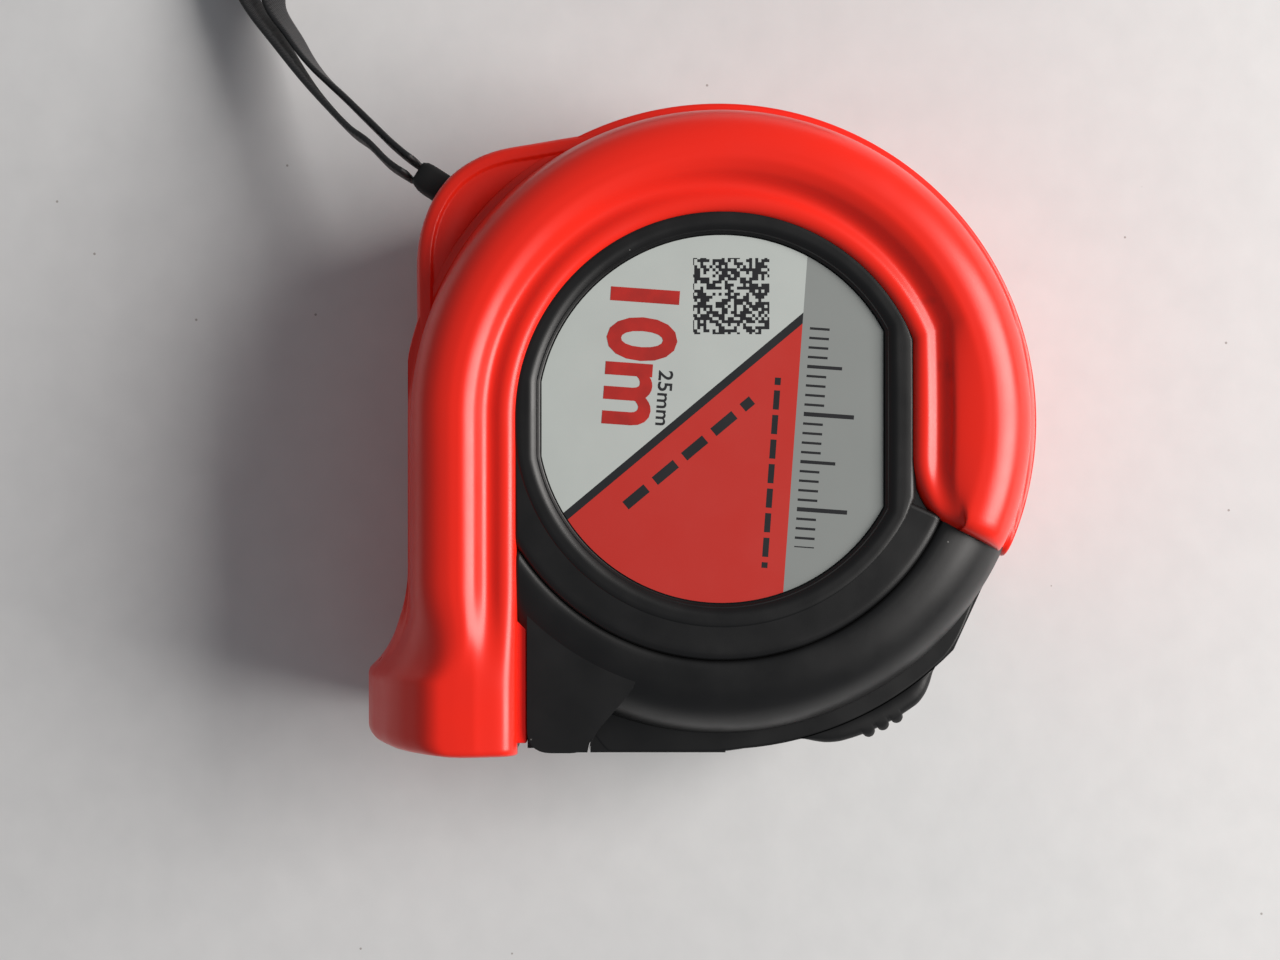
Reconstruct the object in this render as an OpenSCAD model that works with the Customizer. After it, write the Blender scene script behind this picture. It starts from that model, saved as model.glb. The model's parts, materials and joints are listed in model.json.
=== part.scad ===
// Tape measure lying on its side: +X is the way the blade is pulled, +Y is the top of the
// case, +Z is out of the labelled side. All bodies are built around the reel axis and then
// moved so that the origin is under the middle of the case.

/* [Blade] */
// Length of the blade, in metres
blade_len = 10; // [5:0.5:14]
// Width of the blade
blade_w = 25; // [19:0.5:32]
// Thickness of one turn of the wound blade
blade_pitch = 0.14; // [0.12:0.01:0.18]
// Rise of the blade's edges above its middle where it runs out straight
blade_rise = 3.4; // [2:0.1:4]

/* [Reel] */
// Outer radius of the drum that the blade is wound on
drum_r = 21; // [18:0.5:26]
// Wall of the drum
drum_wall = 1.4; // [1:0.1:2.4]
// Radius of the fixed arbor post
arbor_r = 6; // [4:0.25:8]
// Radial running clearance on the arbor post
run_clear = 0.06; // [0.03:0.01:0.1]
// Thickness of the drum's two side plates
flange_t = 1.5; // [1:0.1:2.5]
// How far the side plates stand out past the drum
flange_out = 3; // [1:0.25:5]
// Thickness of the two friction washers
washer_t = 0.5; // [0.3:0.1:0.8]

/* [Case] */
// Room between the wound blade and the case wall, where the brake arm runs
lock_room = 8.6; // [8:0.1:12]
// Thickness of the round wall of the black case
shell_wall = 2.6; // [1.8:0.1:4]
// Thickness of the orange jacket on the round wall
jacket_t = 3; // [2:0.1:4.5]
// Room between the blade's edge and the inside of a side face
side_room = 3.5; // [3:0.1:5]
// Thickness of a side face
side_wall = 2; // [1.2:0.1:3]
// How far the jacket's ridge stands above the side face
ridge_rise = 3; // [2:0.1:4]
// Radius of the round window in the jacket
face_r = 26.8; // [26:0.1:29]
// Distance from the reel axis to the flat at the top of the window
window_top = 24.75; // [24:0.05:25.5]
// Radius of the groove around the front of the side face
groove_r = 31.3; // [30:0.1:32.4]
// Width of that groove
groove_w = 0.6; // [0.4:0.1:1]
// Depth from the line of the blade down to the flat base
base_depth = 12.4; // [11:0.1:18]
// How far the toe drops below the flat base
toe_depth = 6.6; // [3:0.1:9]
// Radius of the hollow flare that leads down to the toe
flare_r = 18.5; // [12:0.5:26]
// Radius of the rounded front end of the jacket
end_r = 11; // [9:0.5:12]
// How far the nose stands back from the jacket's outline
nose_in = 1.4; // [0.5:0.1:2]
// Half the height of the web that fills the rear corner
web_h = 12; // [9:0.5:14]
// Corner radius of that web
web_r = 13; // [6:0.5:15]

/* [Mouth and hook] */
// Depth of the recess that the hook hangs in
hook_recess = 3; // [2.6:0.1:4]
// Thickness of the hook plate
hook_t = 1; // [0.7:0.1:1.2]
// Height of the hook plate below the blade
hook_drop = 10.5; // [8:0.5:11]
// Play of the hook on its rivets
hook_play = 1; // [0.6:0.1:1.2]
// Radius of a hook rivet
rivet_r = 1.3; // [1:0.1:1.6]
// Width of the gap between the toe and the black cheek
cheek_gap = 1.3; // [0.8:0.1:2]

/* [Lock] */
// Angle of the thumb button's rear end above the pull direction
button_hi = 41; // [38:1:44]
// Angle of the thumb button's front end
button_lo = 15; // [14:1:20]
// Travel of the lock, in degrees
lock_travel = 13; // [10:0.5:13]
// Height of the thumb button above the nose band
button_h = 2.4; // [1.6:0.1:4]
// Thickness of the brake arm
arm_t = 1.8; // [1.4:0.1:2.2]
// Half the width of the brake arm
arm_h = 5.5; // [4:0.5:7]

/* [Label] */
// Radius of the printed label
label_r = 24.1; // [22:0.1:24.1]
// Distance from the reel axis to the flat at the label's top
label_top = 21.2; // [19:0.1:21.4]
// Thickness of the label
label_t = 0.3; // [0.2:0.05:0.5]
// Depth of the recess that the label sits in
label_recess = 1; // [0.6:0.1:1.4]

/* [Fasteners and strap] */
// Shank radius of a case screw
screw_r = 1.3; // [1.1:0.1:1.6]
// Head radius of a case screw
head_r = 2.6; // [2.2:0.1:2.8]
// Radius of the pin that holds the strap
pin_r = 1.2; // [1:0.1:1.6]
// Width of the strap's band
band_w = 6; // [4:0.5:8]
// Thickness of the strap's band
band_t = 1; // [0.8:0.1:1.4]

/* [Hidden] */

// radii and heights that follow from the sizes above
coil_r = sqrt(drum_r * drum_r + blade_len * 1000 * blade_pitch / PI);
cavity_r = coil_r + lock_room;
shell_r = cavity_r + shell_wall;
body_r = shell_r + jacket_t;
nose_r = body_r - nose_in;
band_r = body_r + 0.9;
cav_h = blade_w / 2 + side_room;
recess_h = cav_h + side_wall;
plate_h = recess_h + label_recess;
half_t = plate_h + ridge_rise;
base_y = coil_r + base_depth;
toe_y = base_y + toe_depth;
front_x = body_r;
cheek_x = front_x - 0.3;
leg_in = face_r;
fn = 180;
slack = 0.1;

// the box around the case, which sets where the reel axis stands
x_lo = -body_r;
x_hi = front_x + 1.3;
y_lo = -toe_y;
y_hi = body_r;
axis_x = -(x_lo + x_hi) / 2;
axis_y = -(y_lo + y_hi) / 2;

// brake arm and thumb button
arm_out = cavity_r - 0.8;
arm_in = arm_out - arm_t;
foot_out = arm_out + 3.3;
foot_a = -33;
stem_a = 28;
stem_w = 3.2;
button_in = band_r + 0.25;

// screws: three against the round wall and one in the toe
boss_r = 3;
boss_ring = cavity_r - boss_r + 0.4;
screw_at = [[boss_ring * cos(135), boss_ring * sin(135)],
            [boss_ring * cos(72), boss_ring * sin(72)],
            [boss_ring * cos(225), boss_ring * sin(225)],
            [front_x - 16, -(base_y - jacket_t - 1.8)]];

// the blade's straight run and the channel that it passes through
run_y = coil_r + blade_pitch + 0.02;
run_start = 14.5;
hook_x = front_x - hook_recess + 0.4;
run_end = hook_x - 0.2;
rise_r = (pow(blade_w / 2, 2) + blade_rise * blade_rise) / (2 * blade_rise);
channel_top = run_y - blade_rise - 0.7;
channel_low = run_y + 2.6;
channel_h = blade_w / 2 + 0.9;

// the strap leaves the rear corner and lies as a loop beside the case
exit_at = [-34.5, -40.5];

// sections in (distance from the reel axis, height above the seam)
shell_section = [[0, 0], [shell_r, 0], [shell_r - 1, half_t * 0.32], [shell_r - 2.2, half_t * 0.64],
                 [shell_r - 4, half_t - 5], [shell_r - 7, half_t - 3.4],
                 [face_r + 3.5, plate_h - 1.6], [0, plate_h - 1.6]];
cavity_section = [[0, -1], [cavity_r, -1], [cavity_r, 0], [cavity_r - 1, half_t * 0.32],
                  [cavity_r - 2.2, cav_h - 3], [cavity_r - 4.4, cav_h], [0, cav_h]];
jacket_section = [[18, 0], [body_r, 0], [body_r - 0.8, half_t * 0.32],
                  [body_r - 2.1, half_t * 0.64], [body_r - 3, half_t - 4.5],
                  [body_r - 4.4, half_t - 2], [body_r - 6.5, half_t - 0.6],
                  [body_r - 9, half_t], [body_r - 11, half_t], [body_r - 12.6, half_t - 0.6],
                  [face_r + 3.2, plate_h + 0.9], [face_r + 2.4, plate_h + 0.6],
                  [face_r + 1.6, plate_h + 0.9], [face_r + 0.7, plate_h + 0.7],
                  [face_r - 0.2, plate_h + 0.4], [18, plate_h + 0.2]];
nose_section = [[0, 0], [nose_r, 0], [nose_r - 0.1, half_t * 0.32], [nose_r - 1, half_t * 0.5],
                [nose_r - 2.6, half_t * 0.66], [nose_r - 5.2, half_t - 5],
                [nose_r - 8.6, half_t - 3.7], [groove_r, plate_h - 0.5], [0, plate_h - 0.5]];
toe_section = [[18, 0], [toe_y, 0], [toe_y, half_t * 0.28], [toe_y - 1.6, half_t * 0.5],
               [toe_y - 4.2, half_t * 0.7], [toe_y - 8.5, half_t - 2.5],
               [body_r - 6.5, half_t - 0.6], [body_r - 9, half_t], [body_r - 11, half_t],
               [body_r - 12.6, half_t - 0.6], [face_r + 3.2, plate_h + 0.9],
               [face_r, plate_h + 0.4], [18, plate_h + 0.2]];

// ---- placing ----

// from the reel axis frame to the part's frame
module place() {
  translate([axis_x, axis_y, half_t]) children();
}

// the labelled half stands up from the seam, the other half hangs below it
module half(side) {
  if (side > 0) children();
  else mirror([0, 0, 1]) children();
}

// a section turned around the reel axis
module around(section) {
  rotate_extrude($fn = fn) polygon(section);
}

// a section carried straight along X, with its distance from the axis turned downwards
module along(section, x0, x1) {
  translate([x0, 0, 0])
    rotate([90, 0, 90])
      linear_extrude(x1 - x0) polygon([for (p = section) [-p[0], p[1]]]);
}

// part of a ring between two angles
module arc_block(r0, r1, a0, a1, h0, h1) {
  rotate([0, 0, a0])
    rotate_extrude(angle = a1 - a0, $fn = fn)
      translate([r0, h0]) square([r1 - r0, h1 - h0]);
}

// ---- outlines seen from the labelled side ----

// where the black case shows through the jacket
module window_2d() {
  intersection() {
    circle(r = face_r, $fn = fn);
    translate([-60, -60]) square([120, 60 + window_top]);
  }
  translate([0, -leg_in]) square([80, leg_in + window_top]);
  difference() {
    translate([5.5, window_top - 1]) square([80, 80]);
    translate([5.5, window_top + end_r]) circle(r = end_r, $fn = 96);
    tip_2d();
  }
}

// the small hook-shaped tip at the jacket's front end
module tip_2d() {
  polygon([[14, window_top + end_r - 1], [5.5 + end_r - 0.2, window_top + end_r],
           [5.5 + end_r + 1.2, window_top + end_r + 2.4], [5.5 + end_r + 1, body_r - 1.5],
           [16, body_r + 2], [10, body_r + 2]]);
}

// side outline of the toe, with the hollow flare and a rounded lower corner
module toe_2d(grow) {
  difference() {
    translate([20, -toe_y]) square([front_x - 20 + grow, toe_y - 20]);
    translate([20, -base_y - flare_r]) circle(r = flare_r, $fn = 120);
    difference() {
      translate([front_x + grow - 2.5, -toe_y - 1]) square([4, 3.5]);
      translate([front_x + grow - 2.5, -toe_y + 2.5]) circle(r = 2.5, $fn = 48);
    }
  }
}

// outline of the web in the rear corner, drawn in by a margin
module web_2d(m) {
  x = -(body_r - 5.4 - m);
  y = -(base_y - m);
  r = web_r - m / 2;
  difference() {
    translate([x, y]) square([-x, -y]);
    difference() {
      translate([x - 1, y - 1]) square([r + 1, r + 1]);
      translate([x + r, y + r]) circle(r = r, $fn = 96);
    }
  }
}

// the flat cheek beside the mouth
module cheek_2d() {
  difference() {
    polygon([[20, -leg_in + cheek_gap], [cheek_x, -leg_in + cheek_gap], [cheek_x, -17.6],
             [cheek_x - 1.8, -17.2], [cheek_x - 8.4, -11.6], [24, -8]]);
    difference() {
      translate([cheek_x - 3, -leg_in + cheek_gap - 1]) square([4, 4]);
      translate([cheek_x - 3, -leg_in + cheek_gap + 3]) circle(r = 3, $fn = 48);
    }
  }
}

// the proud band across the middle of the nose
module band_2d() {
  intersection() {
    union() {
      circle(r = band_r, $fn = fn);
      translate([30, -17.5]) square([front_x + 1.3 - 30, 18.5]);
    }
    polygon([[0, 0], [60, -28.6], [60, 19.1], [22.3, 36.3]]);
  }
}

// outlines of the label and of the recess that it lies in
module label_2d(gap) {
  intersection() {
    circle(r = label_r + gap, $fn = fn);
    translate([-40, -label_r + 0.5 - gap]) square([80, label_r - 0.5 + label_top + 2 * gap]);
  }
}

// ---- shared cuts ----

// everything above the flat base, except at the toe
module above_base() {
  difference() {
    translate([-70, -80, -1]) cube([140, 160, half_t + 5]);
    translate([-71, -81, -2]) cube([91, 81 - base_y, half_t + 10]);
  }
}

// the room for the blade's run, its mouth and the hook
module mouth_cut() {
  translate([8, -channel_low, -channel_h])
    cube([70, channel_low - channel_top, 2 * channel_h]);
  translate([front_x - hook_recess, -run_y - hook_drop - 1.4, -channel_h])
    cube([20, hook_drop + 1.4 + run_y - channel_top, 2 * channel_h]);
}

// holes for the case screws, straight through from the far side
module screw_holes(r, h0, h1) {
  for (p = screw_at) translate([p[0], p[1], h0]) cylinder(h = h1 - h0, r = r, $fn = 48);
}

// the way in for the strap at the rear corner
module strap_cut() {
  dir = atan2(-0.84, -0.54);
  translate([exit_at[0], exit_at[1], -band_w / 2 - 0.6])
    rotate([0, 0, dir])
      translate([-9.5, -2.2, 0]) cube([20, 4.4, band_w + 1.2]);
}

// ---- case and jacket ----

// one black half of the case, as a solid without its hollows
module shell_body() {
  around(shell_section);
  intersection() {
    along(shell_section, 0, cheek_x - 0.4);
    translate([0, -base_y + jacket_t, -1]) cube([80, base_y - jacket_t - 18.1, 60]);
  }
  linear_extrude(plate_h)
    intersection() {
      window_2d();
      circle(r = groove_r, $fn = fn);
    }
  intersection() {
    around(nose_section);
    linear_extrude(half_t) window_2d();
  }
  linear_extrude(web_h - 3) web_2d(jacket_t);
  translate([0, 0, channel_h - 1]) linear_extrude(plate_h + 0.5 - channel_h) cheek_2d();
  linear_extrude(9) band_2d();
}

// what the jacket is moulded around: the same body without its cheeks and nose
module jacket_core() {
  around(shell_section);
  intersection() {
    along(shell_section, 0, 80);
    translate([0, -base_y + jacket_t, -1]) cube([80, 80, 60]);
  }
  linear_extrude(web_h - 3) web_2d(jacket_t);
}

module case_half(side) {
  difference() {
    shell_body();
    difference() {
      union() {
        around(cavity_section);
        arc_block(20, cavity_r + 2, -50, 48, -1, channel_h - 0.7);
        arc_block(30, foot_out + 0.9, -52, -22, -1, arm_h + 0.8);
      }
      // posts that the screws go into, and the thrust ring around the arbor
      for (p = screw_at) translate([p[0], p[1], -2]) cylinder(h = 40, r = boss_r, $fn = 48);
      translate([0, 0, blade_w / 2 + flange_t + slack + washer_t])
        cylinder(h = 10, r = arbor_r + 3.5, $fn = 96);
    }
    mouth_cut();
    // groove around the front of the side face
    arc_block(groove_r - 0.15, groove_r + groove_w, -57, 65, plate_h - 1.1, plate_h + 2);
    // slit that the thumb button's stem slides in
    arc_block(cavity_r - 1, band_r + 5, stem_a - stem_w - lock_travel - 0.8,
              stem_a + stem_w + 0.8, -1, 3.8);
    // open gap between the cheek and the toe
    translate([front_x - 9, -leg_in, channel_h - 1]) cube([12, cheek_gap, 12]);
    strap_cut();
    translate([-30.45, -34.2, -1]) cylinder(h = 8.5, r = pin_r, $fn = 48);
    if (side > 0) {
      translate([0, 0, recess_h]) linear_extrude(5) label_2d(0.5);
      screw_holes(screw_r, -1, recess_h - 5);
    } else {
      screw_holes(screw_r + 0.2, -1, half_t + 1);
      screw_holes(head_r + 0.2, recess_h - 2.2, half_t + 1);
      translate([0, 0, cav_h - 1]) cylinder(h = 9, r = screw_r + 0.2, $fn = 48);
      translate([0, 0, recess_h - 1]) cylinder(h = 9, r = head_r + 0.2, $fn = 48);
    }
    translate([0, 0, cav_h - 3]) cylinder(h = 3, r = arbor_r, $fn = 96);
  }
}

module jacket_half(side) {
  difference() {
    intersection() {
      union() {
        around(jacket_section);
        along(jacket_section, 0, front_x);
        linear_extrude(web_h) web_2d(0);
        intersection() {
          along(toe_section, 20, front_x);
          linear_extrude(half_t) toe_2d(0);
        }
      }
      above_base();
    }
    jacket_core();
    translate([0, 0, -1]) linear_extrude(half_t + 5) window_2d();
    mouth_cut();
    strap_cut();
    if (side < 0) screw_holes(head_r + 0.6, -1, half_t + 1);
  }
}

module case_label_side() {
  color("#1c1c1e") place() half(1) case_half(1);
}

module case_back_side() {
  color("#1c1c1e") place() half(-1) case_half(-1);
}

module jacket_label_side() {
  color("#f03a28") place() half(1) jacket_half(1);
}

module jacket_back_side() {
  color("#f03a28") place() half(-1) jacket_half(-1);
}

module label_disc() {
  color("#c8ccc8") place() translate([0, 0, recess_h]) linear_extrude(label_t) label_2d(0);
}

// ---- fasteners ----

// a pan-head screw standing on its head, tip towards +Z
module screw(len) {
  difference() {
    union() {
      cylinder(h = 1.6, r = head_r, $fn = 48);
      cylinder(h = len, r = screw_r, $fn = 48);
    }
    for (a = [0, 90]) rotate([0, 0, a]) translate([-1.5, -0.3, -0.1]) cube([3, 0.6, 0.8]);
  }
}

module case_screws() {
  color("#b8bcc0")
    place() {
      for (p = screw_at) translate([p[0], p[1], -recess_h + 0.6]) screw(recess_h + 8);
      translate([0, 0, -recess_h - 0.6]) screw(12);
    }
}

// ---- reel ----

module arbor_post() {
  color("#e8e4d8")
    place()
      difference() {
        translate([0, 0, -cav_h]) cylinder(h = 2 * cav_h, r = arbor_r, $fn = 96);
        translate([0, -0.5, -blade_w / 2 + 1]) cube([20, 1, blade_w - 2]);
        translate([0, 0, -cav_h - 1]) cylinder(h = 12, r = screw_r, $fn = 48);
      }
}

module reel_washers() {
  color("#d8d8d8")
    place()
      for (s = [-1, 1])
        translate([0, 0, s * (blade_w / 2 + flange_t + slack) + (s < 0 ? -washer_t : 0)])
          difference() {
            cylinder(h = washer_t, r = arbor_r + 3.2, $fn = 96);
            translate([0, 0, -1]) cylinder(h = 4, r = arbor_r + run_clear, $fn = 96);
          }
}

module reel_drum() {
  color("#e6e2d2")
    place()
      difference() {
        union() {
          translate([0, 0, -blade_w / 2 - flange_t])
            cylinder(h = flange_t, r = drum_r + flange_out, $fn = fn);
          translate([0, 0, -blade_w / 2]) cylinder(h = blade_w, r = drum_r, $fn = fn);
        }
        translate([0, 0, -blade_w / 2])
          cylinder(h = blade_w + 1, r = drum_r - drum_wall, $fn = fn);
        translate([0, 0, -40]) cylinder(h = 80, r = arbor_r + run_clear, $fn = 96);
      }
}

module reel_cover() {
  color("#e6e2d2")
    place()
      difference() {
        union() {
          translate([0, 0, blade_w / 2]) cylinder(h = flange_t, r = drum_r + flange_out, $fn = fn);
          translate([0, 0, blade_w / 2 - 1])
            cylinder(h = 1, r = drum_r - drum_wall - 0.05, $fn = fn);
        }
        translate([0, 0, -40]) cylinder(h = 80, r = arbor_r + run_clear, $fn = 96);
      }
}

// the wound spring, with the tongue that its inner end hooks into the arbor
module mainspring() {
  color("#5b6068")
    place() {
      difference() {
        translate([0, 0, -blade_w / 2 + 0.6])
          cylinder(h = blade_w - 2, r = drum_r - drum_wall - 0.3, $fn = fn);
        translate([0, 0, -40]) cylinder(h = 80, r = arbor_r + 3, $fn = 96);
      }
      translate([arbor_r - 3, -0.2, -blade_w / 2 + 2]) cube([6.5, 0.4, blade_w - 4]);
    }
}

module blade_coil() {
  color("#e9cf2c")
    place()
      difference() {
        translate([0, 0, -blade_w / 2]) cylinder(h = blade_w, r = coil_r, $fn = fn);
        translate([0, 0, -40]) cylinder(h = 80, r = drum_r, $fn = fn);
      }
}

// ---- blade run and hook ----

// cross-section of the blade where it runs straight, hollow side towards +Y
module blade_2d() {
  intersection() {
    difference() {
      translate([-run_y + rise_r, 0]) circle(r = rise_r, $fn = fn);
      translate([-run_y + rise_r, 0]) circle(r = rise_r - blade_pitch, $fn = fn);
    }
    translate([-run_y - 1, -blade_w / 2]) square([blade_rise + 1.2, blade_w]);
  }
}

module blade_run() {
  color("#e9cf2c")
    place()
      difference() {
        union() {
          translate([run_start, 0, 0])
            rotate([90, 0, 90]) linear_extrude(run_end - run_start) blade_2d();
          translate([0, -run_y, -blade_w / 2]) cube([run_start, blade_pitch, blade_w]);
        }
        for (p = rivet_at)
          translate([p[0], -run_y - 3, p[1]])
            rotate([-90, 0, 0]) cylinder(h = 8, r = rivet_r, $fn = 48);
      }
}

rivet_at = [[hook_x - 9.5, -4], [hook_x - 9.5, 4], [hook_x - 5, 0]];
function sag(h) = rise_r - sqrt(rise_r * rise_r - h * h);

module end_hook() {
  color("#c4c8cc")
    place()
      difference() {
        union() {
          // tongue under the blade, shaped to it
          translate([hook_x - 12.5, 0, 0])
            rotate([90, 0, 90])
              linear_extrude(12.5 + hook_t)
                intersection() {
                  difference() {
                    translate([-run_y + rise_r, 0]) circle(r = rise_r + 0.02 + hook_t, $fn = fn);
                    translate([-run_y + rise_r, 0]) circle(r = rise_r + 0.02, $fn = fn);
                  }
                  translate([-run_y - hook_t - 1, -7]) square([hook_t + 4, 14]);
                }
          translate([hook_x, -run_y - hook_drop, -9.5])
            cube([hook_t, hook_drop - 0.4, 19]);
        }
        // slots that give the hook its play
        for (p = rivet_at)
          translate([p[0], -run_y - 5, p[1]])
            rotate([-90, 0, 0]) {
              cylinder(h = 8, r = rivet_r + 0.05, $fn = 48);
              translate([-hook_play, 0, 0]) cylinder(h = 8, r = rivet_r + 0.05, $fn = 48);
              translate([-hook_play, -rivet_r - 0.05, 0])
                cube([hook_play, 2 * rivet_r + 0.1, 8]);
            }
        // hole for a nail
        translate([hook_x - 1, -run_y - 6.2, 0])
          rotate([0, 90, 0]) cylinder(h = 5, r = 1.6, $fn = 48);
      }
}

module hook_rivets() {
  color("#d8d8d4")
    place()
      for (p = rivet_at)
        translate([p[0], -run_y + sag(p[1]) - hook_t - 0.5, p[1]])
          rotate([-90, 0, 0]) {
            cylinder(h = hook_t + 0.9, r = rivet_r, $fn = 48);
            translate([0, 0, -0.45]) cylinder(h = 0.45, r = rivet_r + 0.8, $fn = 48);
          }
}

module mouth_bumper() {
  color("#202022")
    place()
      translate([front_x - hook_recess, -run_y - 9, -6]) cube([0.3, 5.6, 12]);
}

module wear_plate() {
  color("#b0b4b8")
    place()
      translate([front_x - 9, -channel_low, -11.5]) cube([6, 0.4, 23]);
}

// ---- lock ----

module lock_button() {
  color("#1a1a1c")
    place() {
      arc_block(button_in, button_in + button_h * 0.6, button_lo, button_hi, -9, 9);
      arc_block(button_in + button_h * 0.3, button_in + button_h, button_lo + 5,
                button_hi - 4, -8.8, 8.8);
      for (a = [26, 28.6, 31.2])
        rotate([0, 0, a])
          translate([button_in + button_h - 0.2, 0, -8.5]) cylinder(h = 17, r = 0.9, $fn = 32);
      arc_block(arm_out, button_in + 0.4, stem_a - stem_w, stem_a + stem_w, -3.4, 3.4);
    }
}

module brake_arm() {
  color("#3a3c40")
    place() {
      arc_block(arm_in, arm_out, foot_a, stem_a + stem_w + 2, -arm_h, arm_h);
      arc_block(arm_out, foot_out, foot_a, foot_a + 4.5, -arm_h, arm_h);
    }
}

// ---- strap ----

module strap_pin() {
  color("#9a9ea2")
    place() translate([-30.45, -34.2, -7.3]) cylinder(h = 14.6, r = pin_r, $fn = 48);
}

// the crimped stub that the two ends of the band are joined in
module strap_crimp() {
  dir = atan2(-0.84, -0.54);
  color("#141416")
    place()
      difference() {
        translate([exit_at[0], exit_at[1], -band_w / 2])
          rotate([0, 0, dir]) translate([-9, -1.7, 0]) cube([11, 3.4, band_w]);
        translate([-30.45, -34.2, -10]) cylinder(h = 20, r = pin_r + 0.1, $fn = 48);
      }
}

// the middle of the band: out along one strand, round the end and back along the other
strap_pts = [[-34.8, -43, 22], [-37, -46.3, 21.4], [-40.2, -49.5, 20], [-43.2, -53.1, 17.8],
             [-50.2, -59.4, 13], [-57.5, -64.8, 9], [-65.2, -70.2, 6], [-72.5, -73.6, 4],
             [-80.5, -72.6, 3.3], [-87, -66.5, 3.2], [-90.5, -56, 3.2], [-92, -42, 3.2],
             [-93, -28, 3.2], [-93, -14, 3.2], [-92, 0, 3.2], [-92, 12, 3.2], [-92, 22, 3.2],
             [-90, 30, 3.2], [-85, 35, 3.2], [-79, 35, 3.2], [-74, 30, 3.2], [-73, 21, 3.2],
             [-75, 10, 3.2], [-77, -2, 3.2], [-79, -15, 3.2], [-80, -28, 3.2], [-80.2, -40, 3.2],
             [-80, -50, 3.2], [-77.6, -58.5, 3.3], [-72.5, -65, 4.2], [-65.2, -66.6, 6],
             [-58.5, -62.8, 8.4], [-53.2, -59, 11], [-47.5, -53.4, 15.2], [-43, -49, 18.4],
             [-40.2, -46.2, 20], [-38, -43.7, 21.4], [-36.7, -41.85, 22]];
// smooth points between the given ones
function mid(a, b, c, d, t) =
  0.5 * (2 * b + (c - a) * t + (2 * a - 5 * b + 4 * c - d) * t * t
         + (3 * b - a - 3 * c + d) * t * t * t);
strap_n = len(strap_pts);
strap_path = [for (i = [0 : strap_n - 2], t = [0, 0.5])
                mid(strap_pts[max(i - 1, 0)], strap_pts[i], strap_pts[i + 1],
                    strap_pts[min(i + 2, strap_n - 1)], t),
              strap_pts[strap_n - 1]];
function unit(v) = v / norm(v);
// a closed tube with a flat eight-sided section that stays upright
module band_tube(path, w, t) {
  n = len(path);
  ring = [[t / 2, w * 0.3], [t * 0.3, w / 2], [-t * 0.3, w / 2], [-t / 2, w * 0.3],
          [-t / 2, -w * 0.3], [-t * 0.3, -w / 2], [t * 0.3, -w / 2], [t / 2, -w * 0.3]];
  pts = [for (i = [0 : n - 1])
           let (d = unit(path[min(i + 1, n - 1)] - path[max(i - 1, 0)]),
                s = unit(cross(d, [0, 0, 1])))
             for (q = ring) path[i] + s * q[0] + [0, 0, 1] * q[1]];
  faces = concat(
    [[for (k = [0 : 7]) k]],
    [[for (k = [7 : -1 : 0]) (n - 1) * 8 + k]],
    [for (i = [0 : n - 2], k = [0 : 7])
       [i * 8 + k, (i + 1) * 8 + k, (i + 1) * 8 + (k + 1) % 8, i * 8 + (k + 1) % 8]]);
  polyhedron(points = pts, faces = faces, convexity = 8);
}

module wrist_strap() {
  color("#18181a") translate([axis_x, axis_y, 0]) band_tube(strap_path, band_w, band_t);
}

case_label_side();
case_back_side();
jacket_label_side();
jacket_back_side();
label_disc();
case_screws();
arbor_post();
reel_washers();
reel_drum();
reel_cover();
mainspring();
blade_coil();
blade_run();
end_hook();
hook_rivets();
mouth_bumper();
wear_plate();
lock_button();
brake_arm();
strap_pin();
strap_crimp();
wrist_strap();
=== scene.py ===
# %% [markdown]
# A pocket tape measure lies on its side on a pale board. This lesson rebuilds what the eye sees of it: the
# orange rubber jacket, the black case that shows through it, the thumb lock, the printed label, the steel
# blade behind the mouth and the wrist strap. The imported solids give every size and carry every motion, so
# the first cell loads them and notes the reel axis before anything is added.

# %% Load the imported solids
import json
import math
import bmesh
import bpy
import numpy as np
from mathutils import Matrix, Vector


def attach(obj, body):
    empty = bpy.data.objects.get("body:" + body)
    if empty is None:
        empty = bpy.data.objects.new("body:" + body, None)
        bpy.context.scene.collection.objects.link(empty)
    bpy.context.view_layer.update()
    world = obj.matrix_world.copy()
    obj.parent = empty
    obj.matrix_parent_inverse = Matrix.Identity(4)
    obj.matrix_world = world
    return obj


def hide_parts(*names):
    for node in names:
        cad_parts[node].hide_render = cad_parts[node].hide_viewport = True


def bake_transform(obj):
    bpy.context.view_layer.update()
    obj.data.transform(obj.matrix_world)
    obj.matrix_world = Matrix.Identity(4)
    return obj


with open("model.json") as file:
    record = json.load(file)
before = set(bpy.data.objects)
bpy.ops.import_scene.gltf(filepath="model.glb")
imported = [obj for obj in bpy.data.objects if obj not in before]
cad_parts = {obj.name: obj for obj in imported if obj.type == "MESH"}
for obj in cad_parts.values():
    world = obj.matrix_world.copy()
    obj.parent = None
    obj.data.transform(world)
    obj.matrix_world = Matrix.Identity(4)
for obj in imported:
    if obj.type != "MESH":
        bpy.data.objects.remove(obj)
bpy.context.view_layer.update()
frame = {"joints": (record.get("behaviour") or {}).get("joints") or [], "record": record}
joints = {j["name"]: j for j in frame["joints"]}
REEL = np.array(joints["reel_spin"]["pos_m"]) * 1000
print("reel axis at", REEL.round(2), "mm, seam at", REEL[2], "mm")

# %% [markdown]
# All shapes below are worked out in millimetres around the reel axis: +X is the way the blade is pulled, +Y
# the top of the case, and heights are above the board. One function moves such points to the shared frame
# in metres, and one turns a grid of points into faces, so that each piece is only its own formula.

# %% Points, grids and pieces
SEAM = 22.0
BODY_R = 43.97
BASE_Y = 42.17
TOE_Y = 48.77
FRONT_X = 43.97
WELD = 2e-7  # points closer than this, in metres, are one point


def to_metres(points):
    """Points around the reel axis in mm, with z above the board, as metres in the shared frame."""
    return (np.asarray(points, float) + [REEL[0], REEL[1], 0.0]) / 1000


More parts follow.
